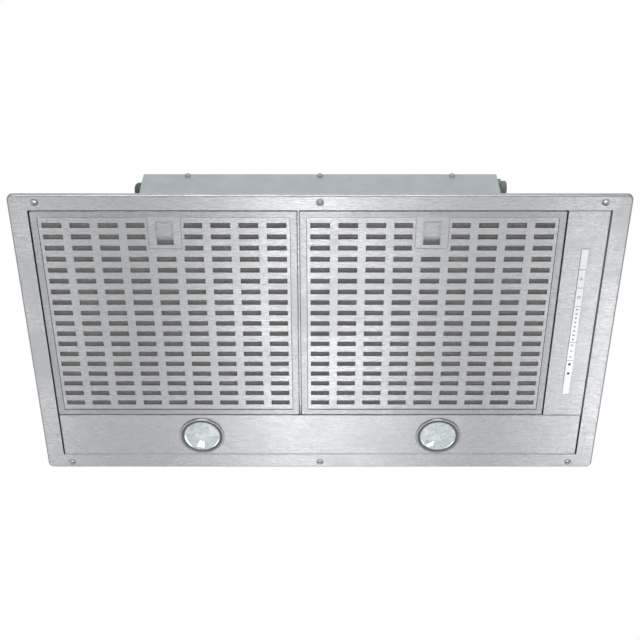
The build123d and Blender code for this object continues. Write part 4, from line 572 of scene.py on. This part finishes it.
def closed_rings(rows, first=None, last=None, loop=False):
    """Skin over rings of points, rows by steps by 3, whose ends meet in the pole points first
    and last by fans of triangles, or whose last ring meets the first if loop is set. Faces point
    to the right hand of a row's way, seen along the ring's."""
    count, steps, _ = rows.shape
    points = rows.reshape(-1, 3)
    quads = grid_quads(count, steps, close_u=loop, close_v=True)
    edges = np.stack([np.arange(steps), np.roll(np.arange(steps), -1)], -1)
    tris = [NO_TRIS]
    for pole, ring in ((first, edges), (last, edges[:, ::-1] + (count - 1) * steps)):
        if pole is not None:
            tris.append(np.insert(ring, 0, len(points), axis=1))
            points = np.concatenate([points, [pole]])
    return points, quads, np.concatenate(tris)


def flipped(shape):
    """The same shape with its faces turned round."""
    points, quads, tris = shape
    return points, quads[:, ::-1], tris[:, ::-1]


def circle_rows(profile, centre, steps, turn=0.0):
    """Rings of a turned shape: each profile point (r, z) goes round the vertical axis through the
    centre, x = cx + r cos a, y = cy + r sin a."""
    profile = np.asarray(profile, float)
    angle = np.linspace(0, 2 * np.pi, steps, endpoint=False) + np.reshape(turn, (-1, 1))
    r, z = profile[:, :1], profile[:, 1:]
    x, y = centre[0] + r * np.cos(angle), centre[1] + r * np.sin(angle)
    return np.stack([x, y, np.broadcast_to(z, x.shape)], -1)


def block(x0, x1, y0, y1, z, height):
    """A bar between two places along x and two along y."""
    return bar((x0 + x1) / 2, (y0 + y1) / 2, z, (x1 - x0) / 2, (y1 - y0) / 2, height)


def bar(x, y, z, half_x, half_y, height):
    """Flat block on a surface that faces down, with a superellipse of exponent 6 as its outline,
    |x / a|^6 + |y / b|^6 = 1."""
    angle = np.linspace(0, 2 * np.pi, 16, endpoint=False) + np.pi / 16
    c, s = np.cos(angle), np.sin(angle)
    ease = (np.abs(c) ** 6 + np.abs(s) ** 6) ** (-1 / 6)
    outline = np.stack([x + half_x * c * ease, y + half_y * s * ease], -1)
    rows = np.stack([np.insert(outline, 2, z - drop, axis=1) for drop in (height, 0.0)])
    return flipped(closed_rings(rows, (x, y, z - height), (x, y, z)))


# ---------------------------------------------------------------- operators


class HOOD_OT_sheet_metal(bpy.types.Operator):
    """Brushed stainless frame, lamp panel, control panel and divider"""

    bl_idname = "hood.sheet_metal"
    bl_label = "Sheet metal"

    def execute(self, context):
        colour, grain = tuple(context.scene.hood_colours.steel), (26.0, 1400.0, 1400.0)
        along = brushed_metal("Brushed stainless", colour, grain)
        # The trim steel carries painted shade in the dishes round its screw holes.
        trim = brushed_metal("Trim steel", colour, grain, dishes=True)
        dress(trim, *(f"trim_rail_{edge}" for edge in EDGES))
        dress(along, "lamp_panel", "control_panel", "filter_divider")
        # Painted shade: a grey strip fills the narrow gap with the tone of its shade.
        rubber = moulded_plastic("Edge gap shade", (0.15, 0.15, 0.155), 0.5, 2500.0)
        put_mesh("edge_gap_shade", self.gap_shade_strip(), rubber, "housing", smooth=False)
        return {"FINISHED"}

    def gap_shade_strip(self):
        """Grey strip in the narrow gap between the control panel's right edge and the trim, which
        paints the gap's shaded tone.
        """
        low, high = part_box("control_panel")
        beside, above, half_width, height = 0.00065, 0.0013, 0.00048, 0.001
        middle, reach = (low.y + high.y) / 2, (high.y - low.y) / 2
        return bar(high.x + beside, middle, low.z + above, half_width, reach, height)


class HOOD_OT_filters(bpy.types.Operator):
    """Filter rims, face sheets, back grids, dishes and sliders, with painted seam shadow lines, beads
    and coils
    """

    bl_idname = "hood.filters"
    bl_label = "Grease filters"
    coil_keep = 0.49  # share of the coil's length that is left at the end of the latch's slide

    def execute(self, context):
        colour = tuple(context.scene.hood_colours.filter_steel)
        rim = brushed_metal("Filter rim steel", scaled(colour, 0.84), (30.0, 1300.0, 1300.0))
        face = brushed_metal("Filter face steel", colour, (30.0, 1500.0, 1500.0), contrast=0.07)
        back = brushed_metal("Filter grid steel", colour, (300.0, 300.0, 300.0), roughness=0.4)
        slider = brushed_metal("Latch steel", scaled(colour, 0.93), (30.0, 1300.0, 1300.0))
        wire = bright_metal("Spring wire", (0.5, 0.5, 0.5), 0.2)
        rod = bright_metal("Hinge rod zinc", (0.55, 0.56, 0.57), 0.22, (10.0, 500.0, 500.0))
        # Painted shadow: thin dark bars along the rim's inner edge and round the latch dish.
        seam_shade = moulded_plastic("Seam shadow line", (0.10, 0.10, 0.105), 0.5, 3000.0)
        # Painted shade: the bead steel is darker than the latch, drawing shade lines round the pad
        # and along the lip.
        bead = brushed_metal("Latch bead", scaled(colour, 0.62), (60.0, 900.0, 900.0))
        dress(rod, "hinge_rod")
        for side in SIDES:
            dress(rim, f"filter_{side}_rim")
            dress(face, f"filter_{side}_face", f"filter_{side}_dish")
            dress(back, f"filter_{side}_back")
            dress(slider, f"latch_{side}")
            dress(wire, f"latch_{side}_spring")
            shape = self.shadow_lines(side)
            put_mesh(f"filter_seam_shadow_{side}", shape, seam_shade, f"filter_{side}", False)
            shape = self.beads(side)
            put_mesh(f"latch_bead_{side}", shape, bead, f"latch_{side}", False)
            low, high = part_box(f"latch_{side}_spring")
            shape, name = self.coil(low, high), f"latch_coil_{side}"
            piece = put_mesh(name, shape, wire, f"filter_{side}")
            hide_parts(f"latch_{side}_spring")
            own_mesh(piece)
        return {"FINISHED"}

    def coil(self, low, high):
        """Compression spring that fills a box along y: a tube round the helix of five turns
        x = cx + R cos a, y = y0 + p a, z = cz + R sin a, closed by a cap at each end."""
        wire, turns = 0.00025, 5
        radius = (high.x - low.x) / 2 - wire
        angle = np.linspace(0, 2 * np.pi * turns, 24 * turns + 1)
        pitch = (high.y - low.y - 2 * wire) / angle[-1]
        c, s, zero = np.cos(angle), np.sin(angle), np.zeros(len(angle))
        outward = np.stack([c, zero, s], -1)
        start = ((low.x + high.x) / 2, low.y + wire, (low.z + high.z) / 2)
        path = start + radius * outward + np.stack([zero, pitch * angle, zero], -1)
        along = np.stack([-radius * s, zero + pitch, radius * c], -1)
        along /= np.linalg.norm(along, axis=1, keepdims=True)
        across = np.cross(along, outward)
        turn = np.linspace(0, 2 * np.pi, 10, endpoint=False)[:, None]
        section = np.cos(turn) * outward[:, None] + np.sin(turn) * across[:, None]
        return flipped(closed_rings(path[:, None] + wire * section, path[0], path[-1]))

    def shadow_lines(self, side):
        """Thin dark bars of painted shadow where the face sheet meets the rim, and round the latch
        dish.
        """
        low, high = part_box(f"filter_{side}_face")
        dish_low, dish_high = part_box(f"filter_{side}_dish")
        lip, half, height, dish_rim, dish_depth = 0.0072, 0.00035, 0.0003, 0.0038, 0.0441
        x0, x1, y0, y1 = low.x + lip, high.x - lip, low.y + lip, high.y - lip
        left, right, far = dish_low.x + dish_rim, dish_high.x - dish_rim, dish_low.y + dish_depth
        lines = (
            (x0 - half, x0 + half, y0, y1), (x1 - half, x1 + half, y0, y1),
            (x0, x1, y1 - half, y1 + half), (x0, left, y0 - half, y0 + half),
            (right, x1, y0 - half, y0 + half), (left - 1.5 * half, left - 0.5 * half, y0, far),
            (right + 0.5 * half, right + 1.5 * half, y0, far),
        )
        return join_parts([block(*line, low.z, height) for line in lines])

    def beads(self, side):
        """Raised bead near the latch pad's edge and the lip between the pad and the cup, in darker
        steel that paints their shade lines.
        """
        low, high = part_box(f"latch_{side}")
        reach, half, height, cup_depth = 0.0080, 0.0002, 0.00025, 0.0102
        middle, cup = (low.x + high.x) / 2, high.y - cup_depth
        near, far = cup - 0.0195, cup - 0.0015
        left, right, lip = middle - reach, middle + reach, reach + 0.0015
        lines = (
            (left - half, left + half, near, far), (right - half, right + half, near, far),
            (left, right, near - half, near + half),
            (middle - lip, middle + lip, cup - 0.00085, cup - 0.00015),
        )
        return join_parts([block(*line, low.z, height) for line in lines])


class HOOD_OT_grease_mesh(bpy.types.Operator):
    """Expanded metal mesh behind the slots: two fine layers, and a coarse pair behind them"""

    bl_idname = "hood.grease_mesh"
    bl_label = "Grease mesh"

    def execute(self, context):
        sizes = context.scene.hood_sizes
        material = dull_mesh("Expanded aluminium", tuple(context.scene.hood_colours.mesh))
        fine, coarse, strand = tuple(sizes.mesh_cell), tuple(sizes.backing_cell), sizes.mesh_strand
        layers = (
            ("front", fine, strand, 0.0, (0.0006,)),
            ("middle", fine, strand, fine[0] / 2, (0.0016,)),
            ("back", coarse, 2.4 * strand, 0.0, (0.0040, 0.0064)),
        )
        for side in SIDES:
            for layer, cell, width, shift, depths in layers:
                shape = join_parts([self.layer(side, z, cell, width, shift) for z in depths])
                name, body = f"grease_mesh_{side}_{layer}", f"filter_{side}"
                piece = put_mesh(name, shape, material, body, smooth=False)
                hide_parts(f"filter_{side}_mesh")
        return {"FINISHED"}

    def layer(self, side, depth, cell, width, shift):
        """One layer in three fields: past the latch dish, and beside it to the left and right."""
        low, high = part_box(f"filter_{side}_mesh")
        dish_low, dish_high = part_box(f"filter_{side}_dish")
        inset, gap, thick = 0.0066, 0.0004, 0.0005
        x0, x1 = low.x + inset + shift, high.x - inset
        y0, y1, edge = low.y + inset, high.y - inset, dish_high.y + gap
        fields = (
            (x0, x1, edge, y1), (x0, dish_low.x - gap, y0, edge), (dish_high.x + gap, x1, y0, edge),
        )
        z = low.z + depth
        return join_parts([strand_rows(*field, z, cell, width, thick) for field in fields])


class HOOD_OT_lamps(bpy.types.Operator):
    """Chrome bezels, pebbled lenses with facets and gaskets, reflectors and diode modules"""

    bl_idname = "hood.lamps"
    bl_label = "Lamps"

    def execute(self, context):
        sizes = context.scene.hood_sizes
        glass = lens_glass("Pebbled glass", tuple(context.scene.hood_colours.lens))
        chrome = bright_metal("Bezel satin chrome", (0.44, 0.45, 0.46), 0.18)
        mirror = bright_metal("Reflector mirror", (0.85, 0.86, 0.86), 0.05)
        alloy = brushed_metal("Die cast alloy", (0.5, 0.5, 0.505), (400.0, 400.0, 400.0), 0.42)
        diode = diode_face("Diode face")
        facet = bright_metal("Facet mirror", (0.93, 0.95, 0.95), 0.03)
        rubber = moulded_plastic("Gasket rubber", (0.10, 0.105, 0.11), 0.32, 2000.0)
        for side in SIDES:
            low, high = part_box(f"lamp_{side}_lens")
            centre = ((low.x + high.x) / 2, (low.y + high.y) / 2)
            flange_r, lip, rise, flange_height = (high.x - low.x) / 2, 0.0019, 0.0009, 0.002
            face_r = flange_r - lip
            levels = (low.z, low.z + rise, high.z - flange_height, high.z)
            shape = self.lens(centre, face_r, flange_r, levels, sizes)
            piece = put_mesh(f"lamp_lens_{side}", shape, glass, "housing")
            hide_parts(f"lamp_{side}_lens")
            shape = self.gasket(centre, face_r, levels[1])
            put_mesh(f"lamp_gasket_{side}", shape, rubber, "housing")
            shape = self.facets(centre, FACET_CORNERS[side], FACET_ARCS[side], low.z)
            put_mesh(f"lamp_facets_{side}", shape, facet, "housing", smooth=False)
            beside, above = 0.0006, 0.0004
            bowl, disc = self.reflector(centre, face_r - beside, high.z + above)
            put_mesh(f"lamp_reflector_{side}", bowl, mirror, "housing", smooth=False)
            put_mesh(f"lamp_diode_{side}", disc, diode, "housing")
            dress(chrome, f"lamp_{side}_bezel")
            dress(alloy, f"lamp_{side}_module")
        return {"FINISHED"}

    def lens(self, centre, face_r, flange_r, levels, sizes):
        """Lens: a dome whose z rises with the square of r over its radius, smooth outside, a
        straight side, a flange, and a back of pebbles: the sum of three cosines in directions
        60 degrees apart, faded out at the edge."""
        steps, front_rings, rings, bevel = 128, 24, 40, 0.0004
        dome_share, back_share, fade_share = 0.985, 0.94, 0.08
        bottom, side_z, seat_z, top = levels
        share = np.linspace(0.04, 1, front_rings)
        side_r = [face_r, face_r, flange_r, flange_r]
        front_r = np.concatenate([dome_share * face_r * share, side_r])
        front_z = np.concatenate(
            [bottom + (side_z - bottom) * share**2, [side_z + bevel, seat_z, seat_z, top]]
        )
        back = np.linspace(1, 0.025, rings)
        r = np.concatenate([front_r, back_share * flange_r * back])
        z = np.concatenate([front_z, np.full(rings, top)])
        rows = circle_rows(np.stack([r, z], -1), centre, steps)
        x, y = rows[..., 0] - centre[0], rows[..., 1] - centre[1]
        wave = sum(
            np.cos(2 * np.pi * (x * np.cos(a) + y * np.sin(a)) / sizes.lens_pebble)
            for a in np.radians([0, 60, 120])
        )
        fade = np.concatenate([np.zeros(len(front_r)), np.clip((1 - back) / fade_share, 0, 1)])
        rows[..., 2] -= sizes.lens_relief * (wave + 1.5) / 4.5 * fade[:, None]
        poles = (*centre, bottom), (*centre, top - sizes.lens_relief)
        return flipped(closed_rings(rows, *poles))

    def facets(self, centre, corners, arcs, bottom):
        """Polished facets of the lens: a flat kite, and thin crescents near the edge, whose
        inner and outer arcs meet at their ends, width w sin(pi t) over the arc's run t. They lie
        a little proud of the dome, z = 0.0009 (r / 0.0226)^2 above its lowest point."""
        kite = np.array(corners) * 0.001 + centre
        levels = (bottom - 0.00002, bottom + 0.0008)
        rows = np.stack([np.insert(kite, 2, z, axis=1) for z in levels])
        shapes = [flipped(closed_rings(rows, rows[0].mean(0), rows[1].mean(0)))]
        proud, thick, steps = 0.00008, 0.0006, 24
        for start, end, outer, width in arcs:
            run = np.linspace(0.02, 0.98, steps)[:, None]
            angle = start + (end - start) * run
            r = outer - width * np.sin(np.pi * run) * (0, 1, 1, 0)
            x, y = centre[0] + r * np.cos(angle), centre[1] + r * np.sin(angle)
            z = bottom + 0.0009 * (outer / 0.0226) ** 2 - proud
            rows = np.stack(np.broadcast_arrays(x, y, [z, z, z + thick, z + thick]), -1)
            shapes.append(closed_rings(rows, rows[0].mean(0), rows[-1].mean(0)))
        return join_parts(shapes)

    def gasket(self, centre, face_r, side_z):
        """Gasket: a ring in the groove between bezel and lens; its section is a wedge whose face
        is bowed by half a sine, carried round the lamp's axis."""
        clear, width, above, bow, depth = 0.0001, 0.0029, 0.0004, 0.0003, 0.0026
        share = np.linspace(0, 1, 9)
        r = face_r + clear + width * share
        z = side_z + above - bow * np.sin(np.pi * share)
        profile = np.stack([np.append(r, r[0]), np.append(z, side_z + depth)], -1)
        return flipped(closed_rings(circle_rows(profile, centre, 96), loop=True))

    def reflector(self, centre, mouth_r, z0):
        """Reflector: a bowl whose radius falls with a power of its height, cut in facets by a
        coarse grid with alternate rings turned half a step, and a diode disc at its bottom."""
        steps, rings, depth, thick = 20, 6, 0.0078, 0.0004
        share = np.linspace(0, 1, rings)
        r, z = mouth_r * (1 - 0.72 * share**1.7), z0 + depth * share
        turn = np.where(np.arange(rings) % 2 == 0, 0.0, np.pi / steps)
        inside = circle_rows(np.stack([r, z], -1), centre, steps, turn)
        outside = inside[::-1] + (0.0, 0.0, thick)
        bowl = closed_rings(np.concatenate([inside, outside]), loop=True)
        disc_r, rim, crown, shoulder, base = r[-1] * 0.95, z[-1], 0.0003, 0.0002, 0.0005
        profile = [
            (disc_r * 0.4, rim - crown), (disc_r * 0.8, rim - shoulder), (disc_r, rim),
            (disc_r, rim + base),
        ]
        poles = (*centre, rim - crown), (*centre, rim + base)
        return bowl, flipped(closed_rings(circle_rows(profile, centre, 48), *poles))


class HOOD_OT_touch_strip(bpy.types.Operator):
    """Touch strip glass with its generic marks, control board and housing"""

    bl_idname = "hood.touch_strip"
    bl_label = "Touch strip"

    def execute(self, context):
        colours = context.scene.hood_colours
        dress(strip_glass("Strip glass", tuple(colours.strip)), "touch_strip")
        dress(circuit_board("Circuit board"), "control_board")
        dress(moulded_plastic("Housing plastic", tuple(colours.dark_plastic)), "control_housing")
        marks, dots = self.signs(context.scene.hood_sizes.print_height)
        grey = printed_ink("Strip print", tuple(colours.marks))
        put_mesh("strip_marks", join_parts(marks), grey, "housing", smooth=False)
        black = printed_ink("Strip windows", (0.01, 0.01, 0.012))
        put_mesh("strip_dots", join_parts(dots), black, "housing", smooth=False)
        return {"FINISHED"}

    def signs(self, height):
        """Plain signs from the strip's near end, whose first segment stays bare: lines between
        the segments, a ring with a stroke, three strokes that widen, eight level marks, three
        rings and a border at the left and near edges. Two round windows are at the far end."""
        low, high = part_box("touch_strip")
        x, z, near = (low.x + high.x) / 2, low.z, low.y + 0.002
        middle, reach, half = (low.y + high.y) / 2, (high.y - low.y) / 2 - 0.0026, 0.0042

        def stroke(y, half_x, half_y, x=x):
            """A flat bar."""
            return bar(x, y, z, half_x, half_y, height)

        def ring(y, radius, width):
            """A flat band between two circles, closed round and on all four sides."""
            inner = radius - width
            profile = [(radius, z), (inner, z), (inner, z - height), (radius, z - height)]
            return flipped(closed_rings(circle_rows(profile, (x, y), 32), loop=True))

        marks = [
            *(stroke(near + y, half, 0.0004) for y in (0.0287, 0.054, 0.0806, 0.1323, 0.1595)),
            ring(near + 0.0672, 0.0021, 0.0006),
            stroke(near + 0.0665, 0.0003, 0.0012),
            *(stroke(near + 0.0395 + 0.0016 * i, 0.0007 * (i + 1), 0.0004) for i in range(3)),
            *(stroke(near + 0.0848 + 0.0062 * i, 0.0013, 0.0009) for i in range(8)),
            *(ring(near + 0.1372 + 0.0086 * i, 0.0015, 0.0007) for i in range(3)),
            stroke(middle, 0.0003, reach, x - half),
            stroke(middle - reach, half, 0.0003),
        ]
        return marks, [ring(near + y, 0.0018, 0.0017) for y in (0.1656, 0.1796)]


class HOOD_OT_blower_box(bpy.types.Operator):
    """Galvanised chamber, blower box, scroll and adapter"""

    bl_idname = "hood.blower_box"
    bl_label = "Blower box"

    def execute(self, context):
        zinc = galvanised_sheet("Galvanised sheet", tuple(context.scene.hood_colours.galvanised))
        dress(zinc, *(f"chamber_{edge}" for edge in EDGES))
        dress(zinc, *(f"box_{edge}_panel" for edge in (*EDGES, "top")))
        dress(zinc, "scroll_shell", "scroll_side_left", "scroll_side_right")
        dress(zinc, "outlet_adapter", "motor_bracket")
        dress(bright_metal("Zinc plated screw", (0.70, 0.71, 0.72), 0.2), "box_screws")
        return {"FINISHED"}


class HOOD_OT_fan(bpy.types.Operator):
    """Impeller, shaft, motor, bearings, collar and flaps"""

    bl_idname = "hood.fan"
    bl_label = "Fan and outlet"

    def execute(self, context):
        dark = tuple(context.scene.hood_colours.dark_plastic)
        collar = moulded_plastic("Collar plastic", dark, 0.42)
        dress(collar, "exhaust_collar", "flap_near", "flap_far")
        wheel = moulded_plastic("Impeller plastic", scaled(dark, 1.6), 0.38, 1900.0)
        dress(wheel, "impeller_blades", "impeller_rings")
        steel = bright_metal("Ground steel", (0.6, 0.6, 0.61), 0.15, (600.0, 20.0, 20.0))
        dress(steel, "impeller_shaft", "flap_spindle", "motor_bearings")
        can = moulded_plastic("Motor enamel", (0.05, 0.052, 0.055), 0.35, 800.0, metallic=0.2)
        dress(can, "motor")
        return {"FINISHED"}


class HOOD_OT_fittings(bpy.types.Operator):
    """Power box, capacitor, cable gland, blanking plug and wiring loom"""

    bl_idname = "hood.fittings"
    bl_label = "Electrical fittings"

    def execute(self, context):
        dark = tuple(context.scene.hood_colours.dark_plastic)
        dress(moulded_plastic("Power box plastic", scaled(dark, 1.4), 0.5, 1100.0), "power_box")
        dress(moulded_plastic("Plug plastic", scaled(dark, 2.4), 0.35), "blanking_plug")
        dress(moulded_plastic("Gland nylon", (0.17, 0.175, 0.17), 0.4, 1300.0), "cable_gland")
        can = brushed_metal("Capacitor can", (0.66, 0.66, 0.67), (30.0, 400.0, 400.0), 0.3)
        dress(can, "capacitor")
        dress(cable_skin("Lead jacket"), "wiring_loom")
        return {"FINISHED"}


class HOOD_OT_stage(bpy.types.Operator):
    """Pale floor, soft lamps, white surroundings and the photograph's camera"""

    bl_idname = "hood.stage"
    bl_label = "Stage"

    def execute(self, context):
        scene = context.scene
        self.floor(FLOOR_HEIGHT)
        self.surroundings(scene)
        for lamp in LAMPS:
            self.lamp(*lamp)
        lens = bpy.data.cameras.new("view")
        lens.sensor_width, lens.lens = CAMERA_SENSOR, CAMERA_LENGTH
        lens.dof.use_dof = False
        camera = put_object("view", lens)
        forward, up = Vector(CAMERA_FORWARD), Vector(CAMERA_UP)
        turn = Matrix((forward.cross(up), up, -forward)).transposed().to_4x4()
        camera.matrix_world = Matrix.Translation(CAMERA_PLACE) @ turn
        scene.camera = camera
        scene.view_settings.view_transform = "Standard"
        return {"FINISHED"}

    def floor(self, height):
        """Floor: a grid that is flat out to a radius and then rises as the square of the way
        beyond, so that its edge isn't seen. It is grey in reflections and clear from below."""
        reach, count, flat, steepness = 6, 49, 4.0, 0.12
        side = np.linspace(-reach, reach, count)
        x, y = np.meshgrid(side, side, indexing="ij")
        far = np.maximum(np.hypot(x, y) - flat, 0)
        points = np.stack([x, y, height + steepness * far**2], -1)
        made, marks = start_material("Studio floor", ("Handling marks and light patches", 1.3))
        base = mix_colours(marks["Patch"], (0.80, 0.80, 0.80), (0.83, 0.83, 0.83))
        tree = made.node_tree
        glossy = add_node(tree, "ShaderNodeLightPath").outputs["Is Glossy Ray"]
        base = blend_over(base, glossy, (0.48, 0.48, 0.485))
        surface(made, base, 0.7, Specular_IOR_Level=0.2)
        below = add_node(tree, "ShaderNodeNewGeometry").outputs["Backfacing"]
        painted = tree.nodes["Principled BSDF"].outputs[0]
        clear = add_node(tree, "ShaderNodeBsdfTransparent").outputs[0]
        mixed = add_node(tree, "ShaderNodeMixShader", below, painted, clear)
        plug(tree.nodes["Material Output"].inputs[0], mixed.outputs[0])
        mesh = bpy.data.meshes.new("floor")
        mesh.from_pydata(points.reshape(-1, 3).tolist(), [], grid_quads(count, count).tolist())
        mesh.materials.append(made)
        put_object("floor", mesh)

    def surroundings(self, scene):
        """Even light from all round, white to the camera and in glass, and dimmer in metal."""
        world = bpy.data.worlds.new("studio")
        world.use_nodes = True
        tree = world.node_tree
        tree.nodes.clear()
        path = add_node(tree, "ShaderNodeLightPath").outputs
        seen = maths("MAXIMUM", path["Is Camera Ray"], path["Is Transmission Ray"])
        mirrored = ramp(path["Is Glossy Ray"], 0.0, 1.0, 0.95, 0.44)
        strength = maths("MAXIMUM", mirrored, seen)
        light = add_node(tree, "ShaderNodeBackground", (1.0, 1.0, 1.0, 1.0), strength)
        add_node(tree, "ShaderNodeOutputWorld", light.outputs[0])
        scene.world = world

    def lamp(self, name, place, target, size, power):
        """One soft area lamp aimed at a point."""
        light = bpy.data.lights.new(name, "AREA")
        light.shape = "RECTANGLE"
        light.size, light.size_y = size
        light.energy = power
        piece = put_object(name, light)
        aim = Vector(target) - Vector(place)
        piece.matrix_world = (
            Matrix.Translation(place) @ aim.to_track_quat("-Z", "Y").to_matrix().to_4x4()
        )
        piece.visible_camera = False


class HOOD_PT_panel(bpy.types.Panel):
    """Buttons for each step, and the settings they read"""

    bl_idname = "HOOD_PT_panel"
    bl_label = "Range hood insert"
    bl_space_type = "VIEW_3D"
    bl_region_type = "UI"
    bl_category = "Hood"

    def draw(self, context):
        layout = self.layout
        for step in OPERATORS:
            layout.operator(step.bl_idname)
        for group in (context.scene.hood_sizes, context.scene.hood_colours):
            for name in group.bl_rna.properties.keys():
                if name not in ("rna_type", "name"):
                    layout.prop(group, name)


OPERATORS = (
    HOOD_OT_sheet_metal,
    HOOD_OT_filters,
    HOOD_OT_grease_mesh,
    HOOD_OT_lamps,
    HOOD_OT_touch_strip,
    HOOD_OT_blower_box,
    HOOD_OT_fan,
    HOOD_OT_fittings,
    HOOD_OT_stage,
)
CLASSES = (HoodSizes, HoodColours, *OPERATORS, HOOD_PT_panel)


def register():
    for made in CLASSES:
        bpy.utils.register_class(made)
    bpy.types.Scene.hood_sizes = bpy.props.PointerProperty(type=HoodSizes)
    bpy.types.Scene.hood_colours = bpy.props.PointerProperty(type=HoodColours)


def unregister():
    del bpy.types.Scene.hood_colours
    del bpy.types.Scene.hood_sizes
    for made in reversed(CLASSES):
        bpy.utils.unregister_class(made)


def corners(box):
    """A box as plain lists of numbers."""
    return [[round(float(c), 6) for c in corner] for corner in box]


def main():
    """Runs each step in order."""
    register()
    for step in OPERATORS:
        family, name = step.bl_idname.split(".")
        getattr(getattr(bpy.ops, family), name)()


if __name__ == "__main__":
    main()
